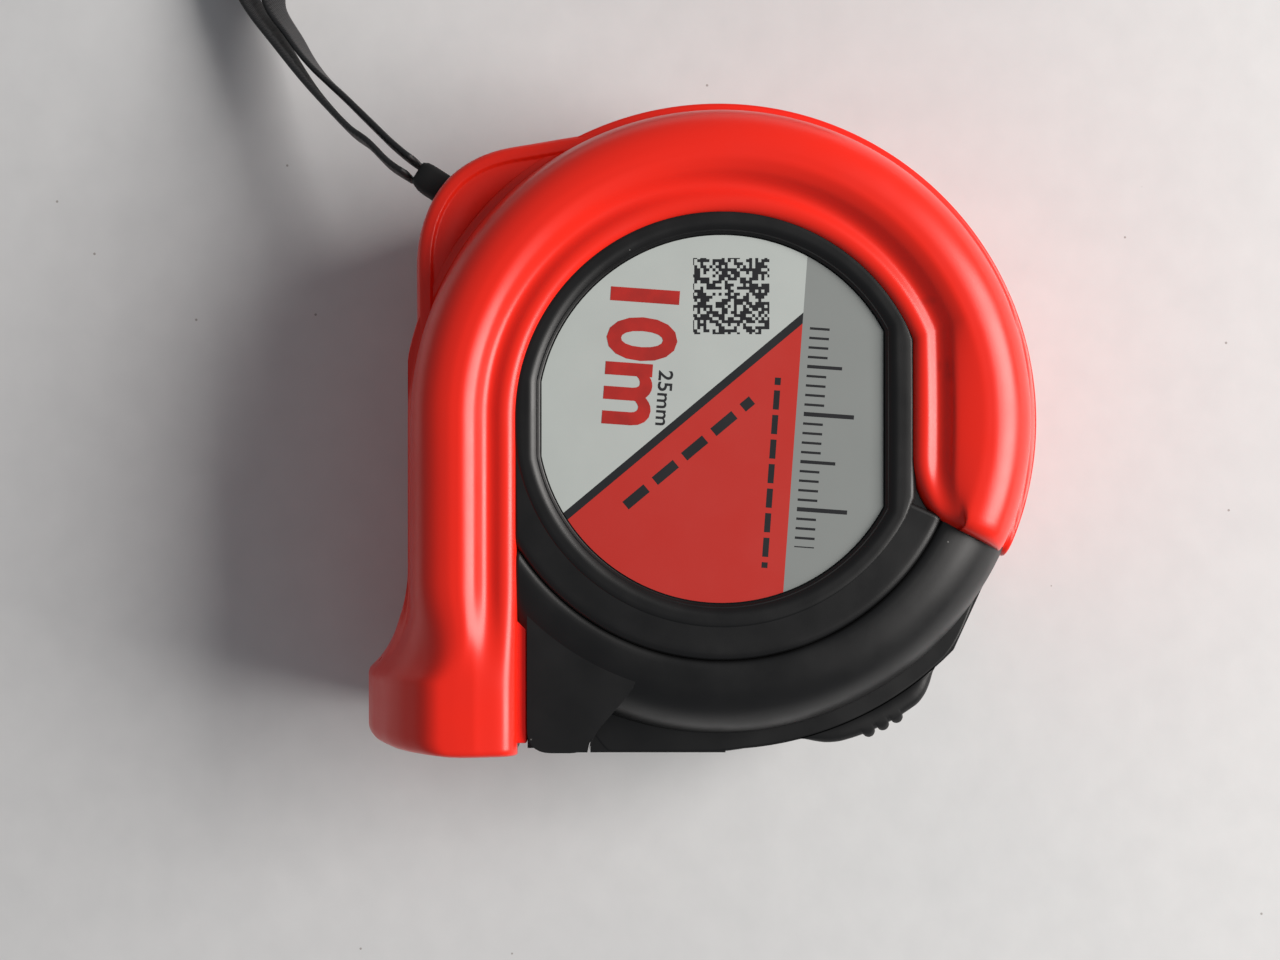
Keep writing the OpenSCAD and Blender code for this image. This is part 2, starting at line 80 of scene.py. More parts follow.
def grid_faces(rows, cols, close_rows=False, close_cols=False):
    """Quads of a grid whose point (i, j) has the index i * cols + j. A closed side joins its last line to its
    first one."""
    i = np.arange(rows if close_rows else rows - 1)[:, None]
    j = np.arange(cols if close_cols else cols - 1)[None, :]
    a = i * cols + j
    b = i * cols + (j + 1) % cols
    c = ((i + 1) % rows) * cols + (j + 1) % cols
    d = ((i + 1) % rows) * cols + j
    return np.stack([a, b, c, d], -1).reshape(-1, 4)


def end_quads(row, cols):
    """Quads that close one end of a grid whose rows are loops: point k is joined to point cols - 1 - k."""
    a = row * cols
    z = a + cols - 1
    return [(a + k, a + k + 1, z - 1 - k, z - k) for k in range(cols // 2 - 1)]


def beside_seam(points, up):
    """Points whose third value is a distance from the seam, as a list above the seam or mirrored below it."""
    flat = points.reshape(-1, 3).copy()
    flat[:, 2] = SEAM + (flat[:, 2] if up else -flat[:, 2])
    return flat


def turn_outwards(mesh):
    """Merges the doubles of a closed mesh and turns all its faces outwards: its signed volume, which is
    returned in cubic mm, is then above zero."""
    work = bmesh.new()
    work.from_mesh(mesh)
    bmesh.ops.remove_doubles(work, verts=work.verts, dist=WELD)
    bmesh.ops.recalc_face_normals(work, faces=work.faces)
    if work.calc_volume(signed=True) < 0:
        bmesh.ops.reverse_faces(work, faces=work.faces)
    volume = work.calc_volume(signed=True) * 1e9
    work.to_mesh(mesh)
    work.free()
    return volume


def piece(name, points, faces, body, closed=True):
    """One mesh object from points in mm and faces, riding on a body."""
    mesh = bpy.data.meshes.new(name)
    mesh.from_pydata(to_metres(points).tolist(), [], [list(map(int, f)) for f in faces])
    mesh.update()
    if closed:
        turn_outwards(mesh)
    mesh.shade_smooth()
    obj = bpy.data.objects.new(name, mesh)
    bpy.context.scene.collection.objects.link(obj)
    if body:
        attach(obj, body)
    return obj


def curve_through(points, n):
    """n points of a smooth curve through the given ones: a Catmull-Rom spline, whose points are then spaced
    evenly by their distance along it."""
    p = np.asarray(points, float)
    q = np.vstack([2 * p[0] - p[1], p, 2 * p[-1] - p[-2]])
    t = np.linspace(0, len(p) - 1, 24 * (len(p) - 1) + 1)
    k = np.minimum(t.astype(int), len(p) - 2)
    u = (t - k)[:, None]
    a, b, c, d = q[k], q[k + 1], q[k + 2], q[k + 3]
    s = 0.5 * (2 * b + (c - a) * u + (2 * a - 5 * b + 4 * c - d) * u**2 + (3 * b - a - 3 * c + d) * u**3)
    run = np.r_[0, np.cumsum(np.linalg.norm(np.diff(s, axis=0), axis=1))]
    want = np.linspace(0, run[-1], n)
    return np.stack([np.interp(want, run, s[:, i]) for i in range(s.shape[1])], -1)


def smooth_step(x, a, b):
    """0 below a, 1 above b, and the cubic 3t^2 - 2t^3 between them."""
    t = np.clip((x - a) / (b - a), 0, 1)
    return t * t * (3 - 2 * t)


def finish_with(obj, kind, **settings):
    """Adds a modifier of a kind, with its settings."""
    m = obj.modifiers.new(kind.title(), kind)
    for key, value in settings.items():
        setattr(m, key, value)


def superellipse(n, power, half_x, half_y):
    """n points of |x / half_x|^power + |y / half_y|^power = 1, which is a rectangle with rounded corners."""
    a = np.linspace(0, 2 * np.pi, n, endpoint=False)
    xy = np.stack([np.cos(a), np.sin(a)], -1)
    return np.sign(xy) * np.abs(xy) ** (2 / power) * [half_x, half_y]


# %% [markdown]
# The camera comes first. The tape was seen from straight above,
# with its front towards the bottom of the frame, so the camera looks down the Z axis from a quarter of a
# metre and its upward side is turned to -X. A short distance matters: it makes the top of the case look
# wider than its foot, as a phone held close does.

# %% Camera
CAMERA_AT = np.array([8.0, -10.7, 250.0])
cam_data = bpy.data.cameras.new("overhead")
cam_data.lens = 45.0
cam_data.sensor_width = 36.0
camera = bpy.data.objects.new("overhead", cam_data)
camera.location = to_metres(CAMERA_AT)
camera.rotation_euler = (0, 0, math.radians(90))
bpy.context.scene.collection.objects.link(camera)
bpy.context.scene.camera = camera
print("camera", np.round(camera.location, 4))

# %% [markdown]
# The wrist strap is a woven nylon band, six millimetres wide. Both of its ends go into a crimped stub in the
# rear corner. A flat band bends easily only across its flat faces, so a loop of it on a table stands on its
# edge. The route is therefore one line out and back, and the band is a thin rounded section carried along
# it, upright, with a slight lean where the two strands pass each other.

# %% Wrist strap
STRAP_ROUTE = [
    (-34.8, -43, 22), (-37, -46.3, 21.4), (-40.2, -49.5, 20), (-43.2, -53.1, 17.8), (-50.2, -59.4, 13),
    (-57.5, -64.8, 9), (-65.2, -70.2, 6), (-72.5, -73.6, 4), (-80.5, -72.6, 3.3), (-87, -66.5, 3.2),
    (-90.5, -56, 3.2), (-92, -42, 3.2), (-93, -28, 3.2), (-93, -14, 3.2), (-92, 0, 3.2), (-92, 12, 3.2),
    (-92, 22, 3.2), (-90, 30, 3.2), (-85, 35, 3.2), (-79, 35, 3.2), (-74, 30, 3.2), (-73, 21, 3.2),
    (-75, 10, 3.2), (-77, -2, 3.2), (-79, -15, 3.2), (-80, -28, 3.2), (-80.2, -40, 3.2), (-80, -50, 3.2),
    (-77.6, -58.5, 3.3), (-72.5, -65, 4.2), (-65.2, -66.6, 6), (-58.5, -62.8, 8.4), (-53.2, -59, 11),
    (-47.5, -53.4, 15.2), (-43, -49, 18.4), (-40.2, -46.2, 20), (-38, -43.7, 21.4), (-36.7, -41.85, 22),
]
BAND_W, BAND_T, BAND_SIDES = 6.0, 1.0, 16
LEAN, LEAN_RUN = 0.36, 0.045
LEAN_OUT, LEAN_BACK = 0.125, 0.875
line = curve_through(STRAP_ROUTE, 420)


def band_along(route, width, thick, lean):
    """A closed band: a superellipse of power 4 with the half-axes thick / 2 and width / 2, set across the
    route at each point and leaned by an angle; its first and last rings are drawn to a point. Also gives the
    distance of each ring along the route and the place of each ring point across the band."""
    ahead = np.gradient(route, axis=0)
    ahead /= np.linalg.norm(ahead, axis=1)[:, None]
    side = np.cross(ahead, [0, 0, 1.0])
    side /= np.linalg.norm(side, axis=1)[:, None]
    up = np.cross(side, ahead)
    ring = superellipse(BAND_SIDES, 4, thick / 2, width / 2)
    s, u = side[:, None, :], up[:, None, :]
    c, n = np.cos(lean)[:, None, None], np.sin(lean)[:, None, None]
    points = route[:, None, :] + ring[None, :, :1] * (s * c + u * n)
    points = points + ring[None, :, 1:] * (u * c - s * n)
    points[0] = route[0]
    points[-1] = route[-1]
    run = np.r_[0, np.cumsum(np.linalg.norm(np.diff(route, axis=0), axis=1))]
    return points.reshape(-1, 3), run, ring[:, 1]


share = np.linspace(0, 1, len(line))
lean = LEAN * np.exp(-((share - LEAN_OUT) / LEAN_RUN) ** 2) - LEAN * np.exp(-((share - LEAN_BACK) / LEAN_RUN) ** 2)
points, run, across = band_along(line, BAND_W, BAND_T, lean)
faces = grid_faces(len(line), BAND_SIDES, close_cols=True)
strap = piece("strap_band", points, faces, "case", closed=False)
uv = strap.data.uv_layers.new(name="band")
corner = np.zeros(len(strap.data.loops), np.int64)
strap.data.loops.foreach_get("vertex_index", corner)
along_mm = np.repeat(run, BAND_SIDES)[corner]
across_mm = np.tile(across, len(line))[corner]
uv.data.foreach_set("uv", np.stack([along_mm, across_mm], -1).astype(np.float32).ravel())
print("band volume", round(turn_outwards(strap.data)), "mm3")
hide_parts("wrist_strap")

# %% [markdown]
# The jacket is soft orange rubber moulded over both halves of the case. Its outside is one section that is
# carried along a path: first round the reel axis from the front end of the jacket over the back, and then
# straight along the base to the toe. Near the black window the section has a small wall, a bead and a
# valley; its top is a broad swell, and its outside wall has a narrow ledge above the seam. Those details
# keep their size while the toe gets deeper, so the section is built from its two edges inwards.

# %% Jacket: the path and the section
WINDOW_R, WINDOW_TOP, LEG_IN = 26.8, 24.75, 26.8
END_ANGLE, END_CORNER_X, END_CORNER_R = 64.8, 5.5, 11.0
TOE_ARC_X, TOE_ARC_R, TOE_CORNER_R = 20, 18.5, 2.5
NO_LIMIT = 99  # farther from the axis than any edge


def window_radius(angle):
    """Distance from the reel axis to the edge of the black window: a circle cut by a flat at the top, and a
    rounded corner at the jacket's front end, found as the near crossing of a ray with it."""
    n = np.stack([np.cos(angle), np.sin(angle)], -1)
    flat = np.where(n[:, 1] > 0.5, WINDOW_TOP / np.maximum(n[:, 1], 0.5), NO_LIMIT)
    r = np.minimum(WINDOW_R, flat)
    centre = np.array([END_CORNER_X, WINDOW_TOP + END_CORNER_R])
    b = n @ centre
    disc = b**2 - centre @ centre + END_CORNER_R**2
    near = b - np.sqrt(np.maximum(disc, 0))
    return np.where((angle < math.radians(78)) & (disc > 0), near, r)


def toe_depth(x):
    """How far the jacket reaches below the reel axis: level, then a hollow arc down to the toe, then level
    again with a rounded corner. An arc of radius r falls by r - sqrt(r^2 - x^2)."""
    arc = BASE_Y + TOE_ARC_R - np.sqrt(np.maximum(TOE_ARC_R**2 - np.clip(x - TOE_ARC_X, 0, 18) ** 2, 0))
    down = np.minimum(arc, TOE_Y)
    r = TOE_CORNER_R
    corner = r - np.sqrt(np.maximum(r**2 - np.clip(x - (FRONT_X - r), 0, r) ** 2, 0))
    return down - corner


def jacket_section(inner, outer, toe, plain=0.0, n=96):
    """Section of one half, as distance from the axis and height above the seam, from the window outwards. It
    is a curve through a mix of point lists: (1 - plain - 0.9 toe) bead + plain rise + 0.9 toe level at the
    inner edge, and (1 - toe) wall + toe low at the outer one."""
    bead = [(0.0, 18.6), (0.1, 19.3), (0.5, 19.95), (1.2, 20.3), (2.0, 20.32), (2.8, 19.98), (3.5, 19.8),
            (4.2, 20.05), (4.9, 20.7), (5.6, 21.35)]
    rise = [(0.0, 17.4), (0.15, 18.3), (0.6, 19.2), (1.2, 19.85), (1.9, 20.25), (2.7, 20.55), (3.4, 20.8),
            (4.2, 21.05), (4.9, 21.25), (5.6, 21.45)]
    level = [(0.0, 18.6), (0.1, 19.5), (0.4, 20.3), (0.9, 20.9), (1.5, 21.3), (2.3, 21.58), (3.2, 21.76),
             (4.0, 21.86), (4.8, 21.93), (5.6, 21.97)]
    wall = [(10.0, 22.0), (8.2, 21.9), (6.4, 21.35), (4.9, 20.3), (3.8, 18.7), (3.0, 16.4), (2.45, 13.2),
            (2.15, 11.5), (1.5, 11.1), (0.85, 10.75), (0.4, 6.5), (0.1, 1.0), (0.25, 0.12), (0.7, 0.02)]
    low = [(12.6, 22.0), (11.0, 21.75), (9.6, 21.0), (8.0, 19.6), (6.2, 17.8), (4.5, 15.6), (3.0, 12.9),
           (2.2, 11.3), (1.6, 10.0), (1.05, 8.4), (0.45, 6.0), (0.1, 1.0), (0.25, 0.12), (0.7, 0.02)]
    side = (1 - toe) * np.array(wall) + toe * np.array(low)
    edge = (1 - plain - 0.9 * toe) * np.array(bead) + plain * np.array(rise) + 0.9 * toe * np.array(level)
    pts = [(inner + d, h) for d, h in edge] + [(outer - d, h) for d, h in side]
    return curve_through(pts, n)


end_steps = np.array([0, 0.08, 0.25, 0.5, 0.9, 1.4, 2.0])
ring_angles = np.radians(np.r_[END_ANGLE + end_steps, np.linspace(67.6, 270, 150)])
leg_x = np.r_[np.linspace(0.6, 41.0, 76), np.linspace(41.4, FRONT_X, 10)]
ring_in = window_radius(ring_angles)
sections = []
for angle, inner in zip(ring_angles, ring_in):
    plain = 0.85 * float(1 - smooth_step(np.array(math.degrees(angle)), 65.5, 80))
    s = jacket_section(inner, BODY_R, 0.0, plain)
    sections.append(np.stack([s[:, 0] * np.cos(angle), s[:, 0] * np.sin(angle), s[:, 1]], -1))
for x in leg_x:
    toe = float(smooth_step(np.array(x), 21.0, 35.0))
    outer = max(BODY_R, float(toe_depth(np.array(x))) + 1.7 * (1 - toe))
    s = jacket_section(LEG_IN, outer, toe)
    sections.append(np.stack([np.full(len(s), x), -s[:, 0], s[:, 1]], -1))
skin = np.array(sections)
level = np.r_[np.full(len(ring_angles), BASE_Y), toe_depth(leg_x)]
skin[:, :, 1] = np.maximum(skin[:, :, 1], -level[:, None])
skin[:, :, 2] = np.clip(skin[:, :, 2], 0.02, 21.99)
print("jacket skin", skin.shape[:2], "points")

# %% [markdown]
# A moulded edge is never sharp. At both ends of the jacket the last few sections are lowered along a quarter
# circle, so that the end face turns into the top softly and catches a thin line of light. The inside of the
# jacket lies on the case; the same sections drawn in by the rubber's thickness give it, and joining the two
# sheets along all four sides makes one closed body for each half.

# %% Jacket: round the ends, add the inside and close it
ROUND_END, ROUND_FRONT, MIDDLE_R = 2.0, 1.0, 36.0
CASE_R, CASE_BASE = 40.9, 39.1
REACHED = 1 / 1.12  # share of the inner sheet at which it meets the case's edge
end_run = (ring_angles - ring_angles[0]) * MIDDLE_R
round_skin, leg_skin = skin[:len(ring_angles), :, 2], skin[len(ring_angles):, :, 2]
for part, gap, r in ((round_skin, end_run, ROUND_END), (leg_skin, FRONT_X - leg_x, ROUND_FRONT)):
    fall = r - np.sqrt(np.maximum(r**2 - np.clip(r - gap, 0, r) ** 2, 0))
    part -= fall[:, None] * smooth_step(part, 0.5, 5.0)


def case_surface(distance):
    """Height of the black case under the rubber, as its solid has it, against distance from the axis."""
    r = np.array([0, 30.3, 33.97, 36.97, 38.77, 39.97, 40.97])
    h = np.array([17.4, 17.4, 18.6, 17.0, 14.08, 7.04, 0.0])
    return np.interp(distance, r, h)


def inside_of(outside):
    """The inner sheet: each section squeezed towards the case, whose edge it meets before it ends."""
    inner = outside.copy()
    u = np.linspace(0, 1, outside.shape[1])
    ring = len(ring_angles)
    reach = np.r_[np.full(ring, CASE_R), np.full(len(leg_x), CASE_BASE)]
    start = np.r_[ring_in, np.full(len(leg_x), LEG_IN)]
    d = start[:, None] + (reach - start)[:, None] * np.minimum(1, 1.12 * u)[None, :]
    h = case_surface(d)
    h = np.where(u[None, :] > REACHED, h * (1 - u[None, :]) / (1 - REACHED), h)
    inner[:ring, :, 0] = d[:ring] * np.cos(ring_angles)[:, None]
    inner[:ring, :, 1] = np.maximum(d[:ring] * np.sin(ring_angles)[:, None], -CASE_BASE)
    inner[ring:, :, 1] = -d[ring:]
    inner[:, :, 2] = h
    return inner


def closed_half(outside, up):
    """Both sheets as one loop per section, with a row of quads over each end; the far half is its mirror."""
    loop = np.concatenate([outside, inside_of(outside)[:, ::-1]], 1)
    rows, cols = loop.shape[:2]
    faces = [tuple(f) for f in grid_faces(rows, cols, close_cols=True)] + end_quads(0, cols)
    faces += [(a, d, c, b) for a, b, c, d in end_quads(rows - 1, cols)]
    return beside_seam(loop, up), ([f[::-1] for f in faces] if up else faces)


for name, up in (("jacket_label_side", True), ("jacket_back_side", False)):
    points, faces = closed_half(skin, up)
    rubber = piece("rubber_" + name, points, faces, "case")
    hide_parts(name)
    print(rubber.name, len(rubber.data.vertices), "points")

# %% [markdown]
# Behind the round ridge, the rear corner is filled by a thinner web that squares off the case and holds the
# strap. It is a shallow dish inside a raised rim. Its top is a grid between the ridge's wall and the corner's
# rounded outline; the height is a smooth function of the distance from that outline, and the outer wall
# drops from the rim to the seam.

# %% Jacket: the web in the rear corner
WEB_RIM = [(-2, -40.9), (-8, -40.9), (-14, -40.92), (-19, -40.95), (-23.2, -40.9), (-26.8, -40.25),
           (-30.4, -38.75), (-33.4, -36.45), (-35.6, -33.3), (-36.95, -29.7), (-37.9, -24.4), (-38.9, -18.4),
           (-39.8, -12.5), (-40.6, -6.5)]
WEB_TOP, WEB_ROUND, WEB_CORE_R = 11.5, 1.3, 37.5


def web_half(up, n=150, m=44):
    """Grid from inside the ridge, over the dish and the rim, and down the outer wall to the seam. The height
    is that of the rim, rounded off near its edge, less a step 2 mm in and a slow fall behind it."""
    rim_line = curve_through(WEB_RIM, n)
    core = rim_line / np.linalg.norm(rim_line, axis=1)[:, None] * WEB_CORE_R
    u = np.linspace(0, 1, m)[None, :, None] ** 0.7
    top = core[:, None] + (rim_line - core)[:, None] * u
    edge_gap = np.min(np.linalg.norm(top[:, :, None, :] - rim_line[None, None, ::3, :], axis=3), axis=2)
    gap = np.minimum(edge_gap, np.linalg.norm(rim_line[:, None] - top, axis=2))
    near = np.clip(1 - gap / WEB_ROUND, 0, 1)
    height = WEB_TOP - WEB_ROUND * (1 - np.sqrt(np.maximum(1 - near**2, 0)))
    height = height - 0.5 * smooth_step(gap, 1.9, 2.35) - 1.6 * smooth_step(gap, 2.6, 9.0)
    along = np.gradient(rim_line, axis=0)
    out = np.stack([-along[:, 1], along[:, 0]], -1)
    out /= np.linalg.norm(out, axis=1)[:, None]
    out *= np.sign((out * rim_line).sum(1))[:, None]
    wall_h = np.array([9.6, 8.6, 7.2, 5.2, 3.0, 1.2, 0.25, 0.02])
    grow = 1.22 * (1 - (wall_h / 10.2) ** 1.6) - np.array([0, 0, 0, 0, 0, 0, 0.12, 0.5])
    wall = rim_line[:, None] + out[:, None] * grow[None, :, None]
    drop = np.dstack([wall, np.broadcast_to(wall_h, (n, 8))])
    floor = np.dstack([core[:, None], np.full((n, 1), 0.02)])
    points = np.concatenate([np.dstack([top, height]), drop, floor], 1)
    cols = points.shape[1]
    faces = [tuple(f) for f in grid_faces(n, cols, close_cols=True)]
    faces += [tuple(range(cols)), tuple((n - 1) * cols + k for k in range(cols - 1, -1, -1))]
    points[:, :, 1] = np.maximum(points[:, :, 1], -BASE_Y)
    return beside_seam(points, up), (faces if up else [f[::-1] for f in faces])


for name, up in (("web_label_side", True), ("web_back_side", False)):
    points, faces = web_half(up)
    piece(name, points, faces, "case")
print("web rim of", len(WEB_RIM), "points, first", WEB_RIM[0], "last", WEB_RIM[-1])

# %% [markdown]
# The black case shows as a flat plate around the label and as the swelling nose in front of it, with a thin
# groove between them. Both are turned shapes, so each is a section carried round the reel axis, as a potter's
# profile is. The plate's inner edge slopes down into the label's recess and follows the label's flats. These
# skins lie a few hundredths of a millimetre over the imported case, which stays under them with its posts,
# channel and mouth.

# %% Case: plate and nose
LABEL_R, LABEL_TOP, LABEL_LOW = 24.1, 21.2, 23.6
PLATE_GAP, SLOPE = 0.4, 1.7
MOUTH_Y, CHEEK_ROOM_Y, CHEEK_H = 25.45, 26.9, 12.6


def recess_radius(angle, grow):
    """Edge of the label's recess: a circle with a flat at the top and one at the bottom, grown by a margin."""
    s = np.sin(angle)
    top = np.where(s > 0.5, (LABEL_TOP + grow) / np.maximum(s, 0.5), NO_LIMIT)
    low = np.where(s < -0.5, (LABEL_LOW + grow) / np.maximum(-s, 0.5), NO_LIMIT)
    return np.minimum(np.minimum(LABEL_R + grow, top), low)


def turned_skin(name, radii, heights, angles, up, thick, close=False):
    """A sheet with the points (r cos a, r sin a, h), thickened inwards so that it is a closed body."""
    points = np.dstack([radii * np.cos(angles), radii * np.sin(angles), heights])
    faces = grid_faces(*radii.shape, close_rows=close)
    faces = faces[:, ::-1] if up else faces
    obj = piece(name, beside_seam(points, up), faces, "case", closed=False)
    finish_with(obj, "SOLIDIFY", thickness=thick / 1000, offset=-1.0)


around = np.linspace(0, 2 * np.pi, 240, endpoint=False)
inner = recess_radius(around, 0.32)
flat_top = (WINDOW_TOP + PLATE_GAP) / np.maximum(np.sin(around), 0.5)
outer = np.minimum(np.where(np.sin(around) > 0.5, flat_top, NO_LIMIT), WINDOW_R + PLATE_GAP)
step = np.array([0.0, 0.12, 0.35, 0.75, 1.05, 1.25, 1.45, SLOPE])
rise = np.array([18.06, 18.1, 18.3, 18.72, 18.94, 19.02, 19.04, 19.04])
last = np.linspace(0, 1, 4)[1:]
level_part = (inner + SLOPE)[:, None] + (outer - inner - SLOPE)[:, None] * last
radii = np.concatenate([inner[:, None] + step, level_part], 1)
heights = np.tile(np.r_[rise, 19.05, 19.05, 18.9], (len(around), 1))
turned_skin("face_ring_label_side", radii, heights, around[:, None], True, 0.5, close=True)

NOSE = [(26.7, 19.03), (28, 19.04), (30.4, 19.04), (31.0, 19.0), (31.18, 18.8), (31.24, 18.3), (31.3, 17.98),
        (31.75, 17.98), (31.88, 18.3), (31.98, 18.62), (32.4, 18.76), (34.0, 18.7), (36.2, 18.2), (38.4, 16.95),
        (40.2, 14.9), (41.4, 12.2), (42.2, 9.2), (42.62, 6.0), (42.7, 2.5), (42.7, 0.1)]
nose_line = np.vstack([curve_through(NOSE[:4], 10)[:-1], np.array(NOSE[3:10])[:-1], curve_through(NOSE[9:], 54)])


def nose_angles(r, h):
    """Angles from the blade's channel to the jacket's front end. The lower end is a straight line at MOUTH_Y
    below the axis (lower under the cheeks), so a radius r stops at the angle whose sine is -MOUTH_Y / r."""
    low = -np.arcsin(np.minimum(0.999, np.where(h > CHEEK_H, CHEEK_ROOM_Y, MOUTH_Y) / r))
    high = math.radians(END_ANGLE + 1.2)
    return low[None, :] + (high - low)[None, :] * np.linspace(0, 1, 110)[:, None]


angles = nose_angles(*nose_line.T)
radii, heights = (np.broadcast_to(row, angles.shape) for row in nose_line.T)
for name, up in (("nose_label_side", True), ("nose_back_side", False)):
    turned_skin(name, radii, heights, angles, up, 0.4)
print("nose section of", len(nose_line), "points")

# %% [markdown]
# Three pieces of the case stand out of the nose: a flat triangular cheek on each side of the mouth, and a
# proud band round the middle that the thumb lock runs on. A strip of rubber on each side backs the gap
# between the toe and the mouth. Each is an outline pushed up to a height, with its edges rounded by a bevel.

# %% Case: cheeks, nose band and the walls beside the toe
CHEEK_X, CHEEK_Y = 43.67, 25.5
LOCK_TRACK_R, BAND_R, BAND_IN_R = 45.32, 44.94, 40.5


def rounded_corner(at, before, after, radius, n=8):
    """Points of an arc that rounds the corner at between the points before and after, by blending the two
    straight sides with a quadratic curve whose ends lie a radius away from the corner."""
    at, before, after = (np.asarray(p, float) for p in (at, before, after))
    a = at + (before - at) / np.linalg.norm(before - at) * radius
    b = at + (after - at) / np.linalg.norm(after - at) * radius
    t = np.linspace(0, 1, n)[:, None]
    return (1 - t) ** 2 * a + 2 * t * (1 - t) * at + t**2 * b


def slab(name, outline, low, high, bevel):
    """An outline (counter-clockwise) between two heights, as one closed body with bevelled edges."""
    n = len(outline)
    points = np.vstack([np.c_[outline, np.full(n, low)], np.c_[outline, np.full(n, high)]])
    k = np.arange(n)
    sides = np.stack([k, (k + 1) % n, (k + 1) % n + n, k + n], -1)
    faces = [tuple(f) for f in sides] + [tuple(range(n - 1, -1, -1)), tuple(range(n, 2 * n))]
    obj = piece(name, points, faces, "case")
    finish_with(obj, "BEVEL", width=bevel / 1000, segments=3, limit_method="ANGLE",
                angle_limit=math.radians(50), harden_normals=True)


corners = [(24, -CHEEK_Y), (CHEEK_X + 0.1, -CHEEK_Y), (CHEEK_X + 0.1, -17.5), (CHEEK_X - 2.2, -16.9),
           (CHEEK_X - 8.6, -11.2), (26, -9)]
sizes = [0.1, 3.2, 2.4, 2.0, 3.0, 0.1]
beside = zip(corners, corners[-1:] + corners[:-1], corners[1:] + corners[:1], sizes)
outline = np.vstack([rounded_corner(*corner_and_size) for corner_and_size in beside])
slab("cheek_label_side", outline, SEAM + 12.3, SEAM + 18.62, bevel=0.45)
slab("cheek_back_side", outline, SEAM - 18.62, SEAM - 12.3, bevel=0.45)

t = np.radians(np.linspace(-25.4, 58.5, 110))
on_track = (LOCK_TRACK_R * np.tan(t) > -17.6) & (LOCK_TRACK_R * np.tan(t) < 1.4)
front = np.where(on_track, LOCK_TRACK_R / np.cos(t), BAND_R)
front = np.convolve(np.pad(front, 3, mode="edge"), np.ones(7) / 7, mode="valid")
front = front - 2.3 * smooth_step(t, math.radians(43), math.radians(58.5))
band = np.vstack([np.c_[r * np.cos(t), r * np.sin(t)][::way] for r, way in ((front, 1), (BAND_IN_R, -1))])
slab("nose_band", band, SEAM - 9.1, SEAM + 9.1, bevel=0.5)
strip = np.array([(17.0, -27.4), (42.6, -27.4), (42.6, -25.56), (17.0, -25.56)])
for name, low, high in (("toe_wall_label_side", 12.7, 17.9), ("toe_wall_back_side", -17.9, -12.7)):
    slab(name, strip, SEAM + low, SEAM + high, bevel=0.25)
print("cheek outline", len(outline), "points")

# %% [markdown]
# The thumb lock is a moulded pad that slides round the nose. Seen from the side it is a low hump with three
# round ribs at its crest. Its top is a grid over the angle and the width: the radius is the hump's profile
# plus a bell-shaped bump for each rib, lowered along a quarter circle near the two side edges.

# %% Thumb lock
LOCK_EDGE, LOCK_FOOT_R, LOCK_IN_R = 1.1, 44.7, 44.0
RIB_R, RIB_AT, RIB_RISE = 0.85, (26.0, 28.6, 31.2), 0.95
CREST_R = 47.4


def lock_pad(n=220, m=41):
    """Radius over (angle, width): profile(angle) + three ribs, each of height sqrt(RIB_R^2 - s^2) at the
    distance s from its crest, falling by a quarter circle of radius LOCK_EDGE at the two side edges."""
    deg = np.linspace(14.6, 41.4, n)
    keys = [14.6, 16.0, 18.5, 20.7, 23.5, 26.0, 31.5, 35.5, 37.5, 39.5, 41.4]
    tall = [44.75, 45.5, 46.5, 47.0, 47.25, 47.4, 47.55, 47.5, 46.95, 46.0, 44.75]
    profile = np.interp(deg, keys, tall)
    kernel = np.hanning(25)
    profile = np.convolve(np.pad(profile, 12, mode="edge"), kernel / kernel.sum(), mode="valid")
    z = np.linspace(-9, 9, m)
    edge = np.clip((np.abs(z) - 7.9) / LOCK_EDGE, 0, 1)
    drop = LOCK_EDGE * (1 - np.sqrt(np.maximum(1 - edge**2, 0)))
    ribs = sum(np.sqrt(np.maximum(RIB_R**2 - (np.radians(deg - c) * CREST_R) ** 2, 0)) for c in RIB_AT)
    across = smooth_step(8.6 - np.abs(z), 0, 0.7)
    radius = profile[:, None] - drop[None, :] * smooth_step(profile, 44.8, 46.5)[:, None]
    radius = np.maximum(radius + RIB_RISE * ribs[:, None] * across[None, :], LOCK_FOOT_R)
    a = np.radians(deg)[:, None]
    top, under = (np.dstack([r * np.cos(a), r * np.sin(a), np.broadcast_to(SEAM + z, r.shape)])
                  for r in (radius, np.full_like(radius, LOCK_IN_R)))
    loop = np.concatenate([top, under[:, ::-1]], 1)
    cols = loop.shape[1]
    faces = [tuple(f) for f in grid_faces(n, cols, close_cols=True)]
    faces += end_quads(0, cols) + [f[::-1] for f in end_quads(n - 1, cols)]
    return loop.reshape(-1, 3), [f[::-1] for f in faces]


points, faces = lock_pad()
lock = piece("thumb_lock", points, faces, "lock")
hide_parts("lock_button")
print("thumb lock", len(points), "points")

# %% [markdown]
# The blade is a steel ribbon 25 mm wide. On the reel it is flat; where it runs out it springs into a shallow
# trough, hollow side up, which keeps it straight. The strip here starts flat where it leaves the reel, turns
# into the trough over the first 14 mm and ends under the rivets of the hook.

# %% Blade in the mouth
COIL_R = 29.776
RUN_Y = COIL_R + 0.16
HOOK_X = FRONT_X - 2.6
BLADE_T, HALF_W, TROUGH = 0.14, 12.5, 1.5


